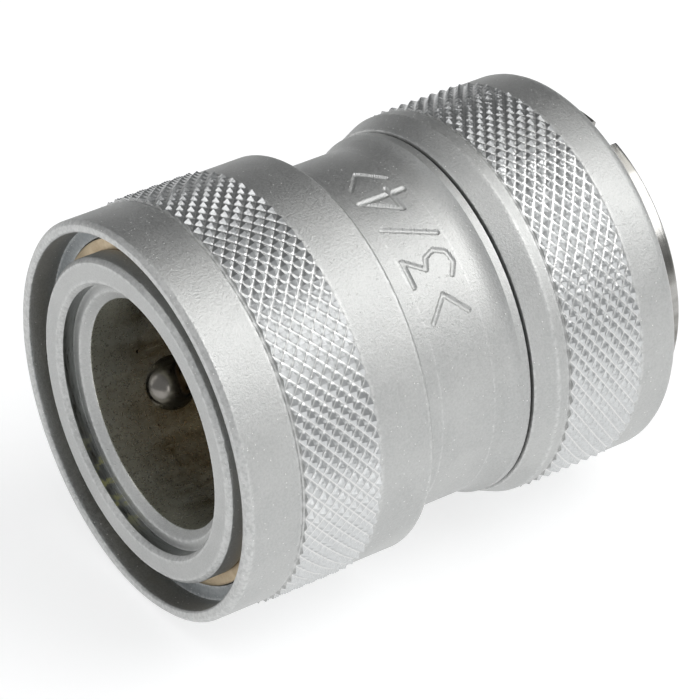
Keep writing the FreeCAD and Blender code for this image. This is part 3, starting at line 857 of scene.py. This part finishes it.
def repaint(node: str, material: bpy.types.Material) -> None:
    """Gives a CAD node a finish, in place of the one it came with."""
    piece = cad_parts[node]
    piece.data.materials.clear()
    piece.data.materials.append(material)
    log.info("%s: repainted", node)


def node_radius(node: str) -> float:
    """Outside radius of a CAD node in mm."""
    return float(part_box(node)[1][0]) / MM


def node_span(node: str) -> tuple[float, float]:
    """First and last place of a CAD node along the axis in mm."""
    low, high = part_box(node)
    return float(low[1]) / MM, float(high[1]) / MM


def wander(angle: Array, *waves: tuple[int, float]) -> Array:
    """Uneven line round the axis: the mean of cosines of (turns, phase) pairs, from -1 to 1."""
    return sum(np.cos(count * angle + phase) for count, phase in waves) / len(waves)


# ---- sub-assemblies --------------------------------------------------------------------------
@dataclass
class DiamondKnurl:
    """Raised pyramids between two crossing families of narrow flat grooves."""

    start: float
    length: float
    rows_along: int
    rows_round: int
    depth: float
    fine: int = 10
    groove_share: float = 0.11
    double_track: float = 0.0

    @property
    def period(self) -> float:
        """Length of one diamond along the axis in mm."""
        return self.length / self.rows_along

    def angles(self) -> Array:
        """Columns that meet every groove."""
        return even_angles(self.rows_round * self.fine)

    def places(self) -> Array:
        """Rows that meet every groove."""
        return self.start + np.arange(self.rows_along * self.fine + 1) * (self.period / self.fine)

    def ridges(self, angle: Array, place: Array) -> tuple[Array, Array]:
        """Closeness to each family's groove: 1 on its middle line and 0 half-way between lines."""
        around = angle * self.rows_round / TURN
        along = (place - self.start) / self.period
        return tuple(np.abs(2.0 * np.mod(phase, 1.0) - 1.0)
                     for phase in (around + along, around - along))

    def height(self, angle: Array, place: Array) -> Array:
        """Height from 0 to 1: 1 - max of both closenesses, flat at 0 over the groove's width."""
        first, second = self.ridges(angle, place)
        height = 1.0 - np.maximum(first, second)
        flat = self.groove_share
        height = np.clip((height - flat) / (1.0 - flat), 0.0, 1.0)
        if self.double_track > 0.0:
            again = self.ridges(angle + 0.37 * TURN / self.rows_round, place + 0.21 * self.period)
            second_track = 1.0 - np.maximum(*again)
            chop = 0.5 + 0.5 * wander(angle + 0.13 * place, (37, 0.4), (53, 2.0), (91, 4.1))
            height = np.clip(height - self.double_track * chop * np.clip(0.45 - second_track, 0.0, 1.0),
                             0.0, 1.0)
        return height

    def split(self, angle: Array, place: Array) -> Array:
        """True for cells whose crease lies along the other diagonal: the first family is nearer."""
        first, second = self.ridges(angle, place)
        return first > second

    def creases(self, outline: Outline) -> Array:
        """The cells of an outline's knurled rows that split is true for, taken at their middles."""
        angles = self.angles()
        turn, place = np.meshgrid(angles + 0.5 * (angles[1] - angles[0]),
                                  outline.place + 0.5 * self.period / self.fine, indexing="ij")
        return self.split(turn, place) & (outline.zone == 1)[None, :]

    def laid_on(self, outline: Outline) -> Outline:
        """Swaps the rows of an outline's knurled run, zone 1, for rows that meet every groove."""
        places = self.places()
        zone = np.ones(len(places), dtype=int)
        zone[-1] = 0
        return swap_run(outline, 1, places, zone, skip=1)

    def band(self, outer: float, angle: Array, radius: Array, at: Array) -> Array:
        """Height in mm over a band whose grooves lie at the outer radius, and 0 elsewhere."""
        near, margin = 0.011, 1e-6
        on_band = ((np.abs(radius - outer) < near) & (at > self.start - margin)
                   & (at < self.start + self.length + margin))
        return np.where(on_band, self.depth * self.height(angle, at), 0.0)


@dataclass
class LockingSleeve:
    """Satin sleeve with a thin lip, an inner shoulder, a knurled band and a plain rear band."""

    lip_chamfer: float = 0.45
    lip_inner_drop: float = 1.25
    inner_chamfer: float = 0.20
    band_drop: float = 0.30
    knurl_setback: float = 6.25
    knurl_length: float = 8.25
    knurl_sink: float = 0.06
    groove_width: float = 0.22
    groove_depth: float = 0.16
    shoulder_setback: float = 3.00
    shoulder_dish: float = 0.30
    ring_seat_drop: float = 2.90
    retainer_setback: float = 4.00
    retainer_width: float = 1.00
    land_drop: float = 4.00
    skirt_drop: float = 2.65
    recess_end: float = 8.02
    land_start: float = 10.72
    land_end: float = 12.60
    end_chamfer: float = 0.35
    dent_depth: float = 0.05

    def build(self, finishes: dict) -> None:
        """Makes and dresses the sleeve."""
        crest = node_radius("locking_sleeve")
        lip, end = node_span("locking_sleeve")
        band = crest - self.band_drop
        knurl = DiamondKnurl(lip + self.knurl_setback, self.knurl_length, rows_along=6, rows_round=76,
                             depth=self.band_drop + self.knurl_sink)
        finish = knurl.start + knurl.length
        outer = band - self.knurl_sink
        corners = [
            (crest - self.skirt_drop, end),
            (crest - self.skirt_drop, lip + self.land_end),
            (crest - self.land_drop, lip + self.land_end),
            (crest - self.land_drop, lip + self.land_start),
            (crest - self.skirt_drop, lip + self.recess_end),
            (crest - self.skirt_drop, lip + self.retainer_setback + self.retainer_width),
            (crest - self.land_drop, lip + self.retainer_setback + self.retainer_width),
            (crest - self.land_drop, lip + self.retainer_setback),
            # Zones 2 and 3, the ring seat, the inner shoulder and the lip wall, take darker copies of
            # the satin finish: painted shade.
            (crest - self.ring_seat_drop, lip + self.retainer_setback, 2),
            (crest - self.ring_seat_drop, lip + self.shoulder_setback + self.shoulder_dish, 2),
            (band - self.lip_inner_drop, lip + self.shoulder_setback, 3),
            (band - self.lip_inner_drop, lip + self.inner_chamfer),
            (band - self.lip_inner_drop + self.inner_chamfer, lip),
            (band - self.lip_chamfer, lip),
            (band, lip + self.lip_chamfer),
            (band, knurl.start - 2 * self.groove_width),
            (band - self.groove_depth, knurl.start - self.groove_width),
            (outer, knurl.start, 1),
            (outer, finish),
            (band, finish + self.groove_width),
            (band, end - self.end_chamfer),
            (band - self.end_chamfer, end),
        ]
        outline = knurl.laid_on(dense_outline(corners, rounding=0.07, step=2.4, sharp=range(8)))

        def relief(angle: Array, radius: Array, at: Array) -> Array:
            """Knurl height on its band, and small dents round the lip."""
            dents = np.clip(wander(angle, (23, 0.7), (41, 2.9), (67, 5.1)) - 0.55, 0.0, 1.0)
            lip_rows = (at < lip + self.lip_chamfer + 0.02) & (radius > band - self.lip_chamfer - 0.1)
            return (knurl.band(outer, angle, radius, at)
                    - np.where(lip_rows, self.dent_depth * dents, 0.0))

        piece = turned("sleeve_shell", outline, knurl.angles(), relief, knurl.creases(outline),
                       outline.zone == 1)
        knurled = KnurledNickel("sleeve_knurl", knurl.rows_round, knurl.start, knurl.period).material()
        dress(piece, Body.SLEEVE, Slot.SATIN_NICKEL,
              (finishes["satin"], knurled, finishes["painted_shade_shoulder"], finishes["shaded"]), "locking_sleeve")


@dataclass
class KnurledNut:
    """Rear nut: grey front cone, bright band, a rougher double-tracked knurl and a round corner."""

    crest_drop: float = 0.24
    face_drop: float = 1.16
    cone: float = 2.25
    knurl_setback: float = 3.75
    knurl_length: float = 8.30
    knurl_sink: float = 0.10
    groove_width: float = 0.16
    groove_depth: float = 0.13
    round_radius: float = 1.20
    spigot_drop: float = 3.01
    insert_drop: float = 3.71
    step_setback: float = 8.40

    def build(self, finishes: dict) -> None:
        """Makes and dresses the nut."""
        crest = node_radius("knurled_nut")
        face, end = node_span("knurled_nut")
        band = crest - self.crest_drop
        outer = band - self.knurl_sink
        knurl = DiamondKnurl(face + self.knurl_setback, self.knurl_length, rows_along=7, rows_round=72,
                             depth=self.crest_drop + self.knurl_sink, double_track=0.75)
        finish = knurl.start + knurl.length
        turn = np.radians([0.0, 18.0, 36.0, 54.0, 72.0, 90.0])
        corner = [(band - self.round_radius * (1.0 - math.cos(a)),
                   end - self.round_radius * (1.0 - math.sin(a))) for a in turn]
        corners = [
            (crest - self.spigot_drop, face),
            (crest - self.face_drop, face),
            (band, face + self.cone),
            (band, knurl.start - 2 * self.groove_width),
            (band - self.groove_depth, knurl.start - self.groove_width),
            (outer, knurl.start, 1),
            (outer, finish),
            (band, finish + self.groove_width),
            *corner,
            (crest - self.insert_drop, end),
            (crest - self.insert_drop, face + self.step_setback),
            (crest - self.spigot_drop, face + self.step_setback),
        ]
        last = len(corners)
        plain = (0, *range(8, 8 + len(corner)), last - 2, last - 1)
        outline = knurl.laid_on(dense_outline(corners, rounding=0.07, step=2.4, sharp=plain))
        piece = turned("nut_shell", outline, knurl.angles(), partial(knurl.band, outer),
                       knurl.creases(outline), outline.zone == 1)
        knurled = KnurledNickel("nut_knurl", knurl.rows_round, knurl.start, knurl.period,
                                crumple=0.05).material()
        dress(piece, Body.BODY, Slot.SATIN_NICKEL, (finishes["satin"], knurled), "knurled_nut")


@dataclass
class NeckMark:
    """Generic engraving on the neck: two chevrons round the hose size in figures."""

    start_angle: float = 33.0
    glyph_step: float = 13.0
    height: float = 5.0
    width: float = 3.2
    base_at: float = 26.2
    stroke: float = 0.25
    depth: float = 0.20
    margin: float = 0.4
    rows: int = 50
    strokes: dict = field(default_factory=lambda: {
        "chevron_up": [(0.15, 0.10, 0.85, 0.50), (0.85, 0.50, 0.15, 0.90)],
        "three": [(0.08, 1.0, 0.92, 1.0), (0.92, 1.0, 0.45, 0.60), (0.45, 0.60, 0.80, 0.50),
                  (0.80, 0.50, 0.94, 0.28), (0.94, 0.28, 0.76, 0.05), (0.76, 0.05, 0.40, 0.0),
                  (0.40, 0.0, 0.05, 0.14)],
        "slash": [(0.15, 0.0, 0.85, 1.0)],
        "four": [(0.74, 0.0, 0.74, 1.0), (0.74, 1.0, 0.05, 0.30), (0.05, 0.30, 1.0, 0.30)],
    })
    row: tuple = ("chevron_up", "three", "slash", "four", "chevron_up")

    def end_angle(self) -> float:
        """Angle where the last glyph ends, in degrees."""
        return self.start_angle + self.glyph_step * len(self.row)

    def cut(self, angle: Array, radius: Array, place: Array) -> Array:
        """Depth below the neck in mm: a round-bottomed groove along the nearest stroke.

        The distance to a stroke is that to the nearest point of its straight line, taken on the
        unrolled neck, with the glyphs' tops towards the mouth.
        """
        nearest = np.full(angle.shape, 9.0)
        for index, name in enumerate(self.row):
            left = math.radians(self.start_angle + self.glyph_step * index)
            across = (angle - left) * radius / self.width
            up = (self.base_at - place) / self.height
            for x0, y0, x1, y1 in self.strokes[name]:
                run = np.array([(x1 - x0) * self.width, (y1 - y0) * self.height])
                off_x = (across - x0) * self.width
                off_y = (up - y0) * self.height
                part = np.clip((off_x * run[0] + off_y * run[1]) / (run @ run), 0.0, 1.0)
                nearest = np.minimum(nearest, np.hypot(off_x - part * run[0], off_y - part * run[1]))
        return -self.depth * np.sqrt(np.clip(1.0 - (nearest / self.stroke) ** 2, 0.0, 1.0))


@dataclass
class SocketBody:
    """Nose, counterbore and ledge, bore and ball cage, neck, flange and threaded spigot."""

    bore: float = 11.50
    relief: float = 0.25
    nose_wall: float = 4.70
    mouth_step: float = 2.34
    chamfer: float = 0.45
    ledge_step: float = 0.90
    ledge_ahead: float = 0.75
    bore_length: float = 5.25
    ring_groove: tuple = (0.30, 1.30)
    ring_depth: float = 0.70
    neck_at: float = 17.50
    neck_step: float = 1.35
    neck_end: float = 27.60
    sweep: float = 1.90
    flange_step: float = 0.75
    flange_end: float = 30.35
    spigot: float = 16.60
    seal_at: float = 12.30
    seal_pocket: float = 13.60
    chamber: float = 13.90
    chamber_at: float = 21.00
    guide_pocket: float = 14.30
    guide_at: float = 36.30
    pocket_radius: float = 3.05
    pocket_length: float = 6.0
    nick_depth: float = 0.07
    columns: int = 190
    mark_columns: int = 176
    mark: NeckMark = field(default_factory=NeckMark)

    def build(self, finishes: dict) -> None:
        """Makes and dresses the body, with a pocket round each ball."""
        face, end = node_span("socket_body")
        nose = self.bore + self.nose_wall
        mouth = self.bore + self.mouth_step
        neck = nose + self.neck_step
        flange = neck + self.flange_step
        sweep_r = (self.flange_step ** 2 + self.sweep ** 2) / (2.0 * self.flange_step)
        swing = np.linspace(0.0, math.asin(self.sweep / sweep_r), 7)[1:]
        sweep = [(neck + sweep_r * (1.0 - math.cos(a)), self.neck_end + sweep_r * math.sin(a))
                 for a in swing]
        letters = np.linspace(self.mark.base_at - self.mark.height - self.mark.margin,
                              self.mark.base_at + self.mark.margin, self.mark.rows)
        corners = [
            (self.bore, 0.0, 0),
            (self.bore + self.ledge_step, -self.ledge_ahead),
            (mouth - self.chamfer, -self.ledge_ahead, 2),
            (mouth - self.chamfer, face + self.chamfer),
            (mouth, face),
            (nose - self.chamfer, face),
            (nose, face + self.chamfer),
            (nose, self.ring_groove[0]),
            (nose - self.ring_depth, self.ring_groove[0]),
            (nose - self.ring_depth, self.ring_groove[1]),
            (nose, self.ring_groove[1]),
            (nose, self.neck_at),
            (neck, self.neck_at),
            (neck, letters[0], 3),
            (neck, letters[-1]),
            (neck, self.neck_end),
            *sweep,
            (flange, self.flange_end),
            (self.spigot, self.flange_end),
            (self.spigot, end),
            (self.guide_pocket, end),
            (self.guide_pocket, self.guide_at),
            (self.chamber, self.guide_at),
            (self.chamber, self.chamber_at),
            (self.seal_pocket, self.chamber_at),
            (self.seal_pocket, self.seal_at, 1),
            (self.bore + self.relief, self.seal_at, 1),
            (self.bore + self.relief, self.bore_length, 1),
            (self.bore, self.bore_length, 1),
        ]
        smooth = range(15, 15 + len(sweep) + 1)
        hidden = (*smooth, *range(len(corners) - 10, len(corners)))
        outline = swap_run(dense_outline(corners, rounding=0.07, step=1.5, sharp=hidden), 3, letters,
                           np.zeros(len(letters), dtype=int))

        def relief(angle: Array, radius: Array, at: Array) -> Array:
            """Engraving on the neck, and nicks and scuffs round the nose's outer corner."""
            marked = (np.abs(radius - neck) < 0.01) & (at > letters[0]) & (at < letters[-1])
            depth = np.where(marked, self.mark.cut(angle, radius, at), 0.0)
            nick = np.clip(wander(angle, (29, 1.3), (47, 0.2), (83, 3.3)) - 0.45, 0.0, 1.0)
            corner = (at < face + self.chamfer + 0.02) & (radius > nose - self.chamfer - 0.08)
            return depth - np.where(corner, self.nick_depth * nick, 0.0)

        angles = sector_angles(self.columns, self.mark.start_angle - 3.0, self.mark.end_angle(),
                               self.mark_columns)
        piece = turned("body_shell", outline, angles, relief)
        balls = [name for name in sorted(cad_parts) if name.startswith("locking_ball")]
        cutters = []
        for name in balls:
            low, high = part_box(name)
            centre = 0.5 * (np.array(low) + np.array(high)) / MM
            away = np.array([centre[0], 0.0, centre[2]])
            away /= np.linalg.norm(away)
            cutters.append(bullet("cutter_" + name, centre, away, self.pocket_radius,
                                  self.pocket_length))
        materials = (finishes["satin"], finishes["bore"], finishes["counterbore"])
        lay(piece, materials)
        cut(piece, cutters, finishes["bore"])
        dress(piece, Body.BODY, Slot.SATIN_NICKEL, materials, "socket_body")


@dataclass
class StopRing:
    """Split brass ring between the nose and the sleeve."""

    outer: float = 17.30
    inner_drop: float = 1.75
    split: float = 2.0
    split_angle: float = 20.0

    def build(self, finishes: dict) -> None:
        """Makes and dresses the ring, open over its split."""
        start, end = node_span("stop_ring")
        inner = self.outer - self.inner_drop
        corners = [(inner, start), (self.outer, start), (self.outer, end), (inner, end)]
        outline = dense_outline(corners, rounding=0.08, step=0.6)
        half = math.asin(0.5 * self.split / self.outer)
        middle = math.radians(self.split_angle)
        angles = np.linspace(middle + half, middle - half + TURN, 200)
        piece = turned("stop_ring_band", outline, angles, closed=False)
        dress(piece, Body.BODY, Slot.BARE_BRASS, (finishes["brass"],), "stop_ring")


@dataclass
class LockingBalls:
    """Hardened balls, each on its own body."""

    def build(self, finishes: dict) -> None:
        """Makes a ball in the place of each CAD ball."""
        for name in sorted(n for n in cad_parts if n.startswith("locking_ball")):
            low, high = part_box(name)
            centre = 0.5 * (np.array(low) + np.array(high)) / MM
            radius = 0.5 * float(high[1] - low[1]) / MM
            piece = ball("steel_" + name, centre, radius)
            piece.data.materials.append(finishes["ball"])
            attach(piece, "ball_" + name.rsplit("_", 1)[1])
            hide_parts(name)
            log.info("%s: ball of %.1f mm", piece.name, 2 * radius)


@dataclass
class ThreadInsert:
    """Bright turned ring with the hose thread and two spanner slots."""

    chamfer: float = 0.20
    minor: float = 12.06
    major: float = 13.22
    pitch: float = 1.814
    relief_depth: float = 0.10
    relief_end: float = 43.30
    ledge: float = 10.50
    ledge_width: float = 1.50
    slot_width: float = 3.50
    slot_angle: float = 77.5
    slot_floor: float = 47.45
    slot_corner: float = 0.35
    slot_margin: float = 2.0

    def build(self, finishes: dict) -> None:
        """Makes and dresses the insert: the thread is r = minor + depth times a triangle wave of
        (place / pitch + turns), faded out at both ends."""
        start, end = node_span("thread_insert")
        outer = node_radius("thread_insert")
        mouth = self.major + self.chamfer
        land = start + self.ledge_width
        thread_end = end - (mouth - self.minor)
        corners = [
            (self.ledge, start),
            (outer, start),
            (outer, end - self.chamfer),
            (outer - self.chamfer, end),
            (mouth, end),
            (self.minor, thread_end),
            (self.minor, self.relief_end),
            (self.major + self.relief_depth, self.relief_end),
            (self.major + self.relief_depth, land),
            (self.ledge, land),
        ]
        outline = dense_outline(corners, rounding=0.05, step=0.16)

        def relief(angle: Array, radius: Array, at: Array) -> Array:
            """The thread's groove."""
            wave = np.abs(2.0 * np.mod(at / self.pitch + angle / TURN, 1.0) - 1.0)
            fade = (np.clip((at - self.relief_end) / 0.1, 0.0, 1.0)
                    * np.clip((thread_end + 0.9 - at) / 0.9, 0.0, 1.0))
            rounded = np.clip(1.15 * wave - 0.08, 0.0, 1.0)
            room = np.clip(self.major - radius, 0.0, None)
            inside = (radius < self.major) & (at > self.relief_end - 1e-6) & (at < end - 0.05)
            return np.where(inside, room * rounded * fade, 0.0)

        piece = turned("insert_ring", outline, even_angles(300), relief)
        cutters = [self.slot_block(angle, outer, end)
                   for angle in (self.slot_angle, self.slot_angle + 180.0)]
        lay(piece, (finishes["turned"],))
        cut(piece, cutters, finishes["turned"])
        dress(piece, Body.BODY, Slot.BRIGHT_NICKEL, (finishes["turned"],), "thread_insert")

    def slot_block(self, angle: float, outer: float, end: float) -> bpy.types.Object:
        """A straight-sided block with a rounded floor: a loft of one section along the radius.

        Over the floor's corners the section is x = w / 2 - R + R sin t and
        y = floor + R (1 - cos t), with w the slot's width and R the corner's radius.

        Args:
            angle: angle of the slot round the axis in degrees.
            outer: outside radius of the insert in mm.
            end: last place of the insert in mm.

        Returns:
            The cutter.
        """
        half = 0.5 * self.slot_width
        corner = self.slot_corner
        quarter = np.linspace(0.0, math.pi / 2, 5)
        right_x = half - corner + corner * np.sin(quarter)
        right_y = self.slot_floor + corner * (1.0 - np.cos(quarter))
        across = np.concatenate([-right_x[::-1], right_x, [half, -half]])
        along = np.concatenate([right_y[::-1], right_y, 2 * [end + self.slot_margin]])
        away, side = outward(angle), np.cross(outward(angle), [0.0, 1.0, 0.0])
        reach = np.array([self.ledge, outer + self.slot_margin])
        grid = (across[:, None, None] * side + along[:, None, None] * np.array([0.0, 1.0, 0.0])
                + reach[None, :, None] * away)
        middle = np.array([0.0, self.slot_floor + 1.0, 0.0])
        vertices = np.vstack([grid.reshape(-1, 3), middle + reach[0] * away, middle + reach[1] * away])
        return finish_mesh("slot_cutter", vertices, capped_grid_faces(len(across), 2))


@dataclass
class Springs:
    """Sleeve spring and valve spring.

    Each one's sizes are its mean radius, its wire's radius and its turns.
    """

    sleeve_sizes: tuple = (16.925, 0.45, 3.5)
    valve_sizes: tuple = (5.40, 0.55, 6.5)

    def build(self, finishes: dict) -> None:
        """Makes and dresses both springs."""
        for name, sizes in (("sleeve", self.sleeve_sizes), ("valve", self.valve_sizes)):
            start, end = node_span(name + "_spring")
            piece = coil(name + "_spring_coil", *sizes, start, end)
            self.fit(piece, finishes, name + "_spring", name + "_slide", start, end)

    @staticmethod
    def fit(piece: bpy.types.Object, finishes: dict, node: str, joint: str, start: float,
            end: float) -> None:
        """Dresses a spring and gives it its own mesh.

        Args:
            piece: the spring.
            finishes: the shared finishes by name.
            node: the CAD node that it stands for.
            joint: the joint that closes it; not used.
            start: its first place in mm, on the side that moves; not used.
            end: its last place in mm, on the side that stands still; not used.
        """
        dress(piece, Body.BODY, Slot.SPRING_STEEL, (finishes["spring"],), node)
        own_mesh(piece)


@dataclass
class SmallParts:
    """Pieces whose CAD shape is already right: they only get their finish."""

    def build(self, finishes: dict) -> None:
        """Repaints each node."""
        for node, finish in {
            "spring_seat": "spring", "plug_seal": "rubber", "seal_backup_ring": "plastic",
            "valve_seat": "brass", "valve_cap": "brass", "valve_seal": "rubber",
            "valve_poppet": "brass", "valve_guide": "brass", "nut_seal": "rubber",
            "rear_gasket": "fibre", "hose_washer": "rubber",
        }.items():
            repaint(node, finishes[finish])


@dataclass(frozen=True)
class SoftLight:
    """A square soft light, with its distance and size in metres and its power in watts."""

    name: str
    direction: tuple
    distance: float
    size: float
    watts: float
    colour: tuple = (1.0, 1.0, 1.0)


@dataclass
class Studio:
    """Pale floor, soft lights and the camera."""

    camera_at: tuple = (0.27103, -0.16556, 0.22309)
    right: tuple = (0.56959, 0.82193, 0.0)
    up: tuple = (-0.46243, 0.32046, 0.82672)
    lens: float = 212.2
    sensor: float = 36.0
    floor_reach: float = 3.0
    middle: tuple = (0.0, 0.025, 0.0)
    lights: tuple = (
        SoftLight("key", (0.40, 0.50, 0.78), 0.9, 0.85, 6.9, (1.0, 0.997, 0.99)),
        SoftLight("front", (-0.35, -1.0, 0.55), 1.1, 0.8, 1.2),
        SoftLight("overhead", (-0.10, -0.35, 1.0), 0.8, 0.40, 0.9),
        SoftLight("side", (1.0, -0.35, 0.16), 0.9, 0.35, 0.7),
    )

    def build(self) -> None:
        """Makes the floor, the world, the lights and the camera."""
        self.floor()
        self.world()
        for light in self.lights:
            self.light(light)
        self.camera()
        view = bpy.context.scene.view_settings
        view.view_transform = "Standard"
        view.look = "None"

    def floor(self) -> None:
        """A flat grid just under the widest piece: P(u, v) = (u, v, lowest point)."""
        low = float(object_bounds()[0][2])
        line = np.linspace(-self.floor_reach, self.floor_reach, 5) / MM
        x, y = np.meshgrid(line, line, indexing="ij")
        vertices = np.stack([x, y, np.full(x.shape, low / MM)], -1).reshape(-1, 3)
        column, row = np.meshgrid(np.arange(4), np.arange(4), indexing="ij")
        a = column * 5 + row
        faces = np.stack([a, a + 5, a + 6, a + 1], -1).reshape(-1, 4)
        piece = finish_mesh("floor", vertices, faces)
        piece.data.materials.append(Backdrop().material())
        piece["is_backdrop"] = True

    def world(self) -> None:
        """Grey surroundings, darker high up at the left and rear."""
        world = bpy.data.worlds.new("studio")
        world.use_nodes = True
        world.node_tree.nodes.clear()
        nodes = Nodes(world.node_tree)
        ray = nodes.add("ShaderNodeTexCoord").outputs["Generated"]
        dark = Vector((-0.68, 0.47, 0.56)).normalized()
        values = {0: ray, 1: tuple(dark)}
        near = nodes.add("ShaderNodeVectorMath", values, operation="DOT_PRODUCT").outputs["Value"]
        strength = nodes.span(near, 0.97, 0.05, 0.12, 0.40)
        glow = nodes.add("ShaderNodeBackground", {"Color": rgb(0.97, 0.985, 1.0), "Strength": strength})
        nodes.add("ShaderNodeOutputWorld", {"Surface": glow.outputs[0]})
        bpy.context.scene.world = world

    def light(self, light: SoftLight) -> None:
        """Hangs one light so that it looks at the coupler's middle."""
        data = bpy.data.lights.new(light.name, "AREA")
        data.energy = light.watts
        data.size = light.size
        data.color = light.colour
        lamp = bpy.data.objects.new(light.name, data)
        away = Vector(light.direction).normalized()
        aim = away.to_track_quat("Z", "Y").to_matrix().to_4x4()
        lamp.matrix_world = Matrix.Translation(Vector(self.middle) + away * light.distance) @ aim
        bpy.context.scene.collection.objects.link(lamp)

    def camera(self) -> None:
        """Long-lens camera in front, to the right and above."""
        data = bpy.data.cameras.new("camera")
        data.lens = self.lens
        data.sensor_width = self.sensor
        data.clip_start = 0.01
        data.clip_end = 20.0
        camera = bpy.data.objects.new("camera", data)
        right, up = Vector(self.right), Vector(self.up)
        back = right.cross(up)
        turn = Matrix((right, up, back)).transposed().to_4x4()
        camera.matrix_world = Matrix.Translation(Vector(self.camera_at)) @ turn
        bpy.context.scene.collection.objects.link(camera)
        bpy.context.scene.camera = camera


def make_finishes() -> dict:
    """Every finish that pieces share, by the name the pieces ask for."""
    return {
        "satin": SatinNickel().material(),
        # Darker copies of the satin finish for the sleeve's ring seat, inner shoulder and lip wall:
        # painted shade.
        "painted_shade_shoulder": SatinNickel("painted_shade_shoulder_nickel", rgb(0.30, 0.32, 0.33), rgb(0.24, 0.26, 0.27),
                               grain_per_mm=3.2, grain_depth_mm=0.05, roughness=0.42).material(),
        "shaded": SatinNickel("painted_shade_lip_wall", rgb(0.36, 0.375, 0.375), rgb(0.30, 0.315, 0.315),
                              roughness=0.40).material(),
        "bore": AgedBore().material(),
        "counterbore": StainedTurning().material(),
        "turned": TurnedNickel().material(),
        "brass": PlainMetal("bare_brass", rgb(0.58, 0.47, 0.32), rgb(0.42, 0.32, 0.20), 0.36).material(),
        "ball": PlainMetal("ball_steel", rgb(0.24, 0.225, 0.205), rgb(0.13, 0.12, 0.105),
                           0.20, 1.2, 0.006).material(),
        "spring": PlainMetal("spring_steel", rgb(0.45, 0.45, 0.44), rgb(0.33, 0.32, 0.30),
                             0.26).material(),
        "rubber": Moulding("black_rubber", rgb(0.018, 0.018, 0.019), rgb(0.030, 0.030, 0.031),
                           0.55).material(),
        "plastic": Moulding("white_plastic", rgb(0.78, 0.77, 0.74), rgb(0.70, 0.69, 0.65),
                            0.40).material(),
        "fibre": Moulding("fibre_gasket", rgb(0.30, 0.16, 0.09), rgb(0.22, 0.12, 0.07),
                          0.75, 1.5, 0.05).material(),
    }


def main() -> None:
    """Builds the coupler piece by piece, then the studio."""
    logging.basicConfig(level=logging.INFO, format="%(name)s: %(message)s")
    finishes = make_finishes()
    for assembly in (SocketBody(), LockingSleeve(), StopRing(), LockingBalls(), KnurledNut(),
                     ThreadInsert(), Springs(), SmallParts()):
        assembly.build(finishes)
    Studio().build()


if __name__ == "__main__":
    main()
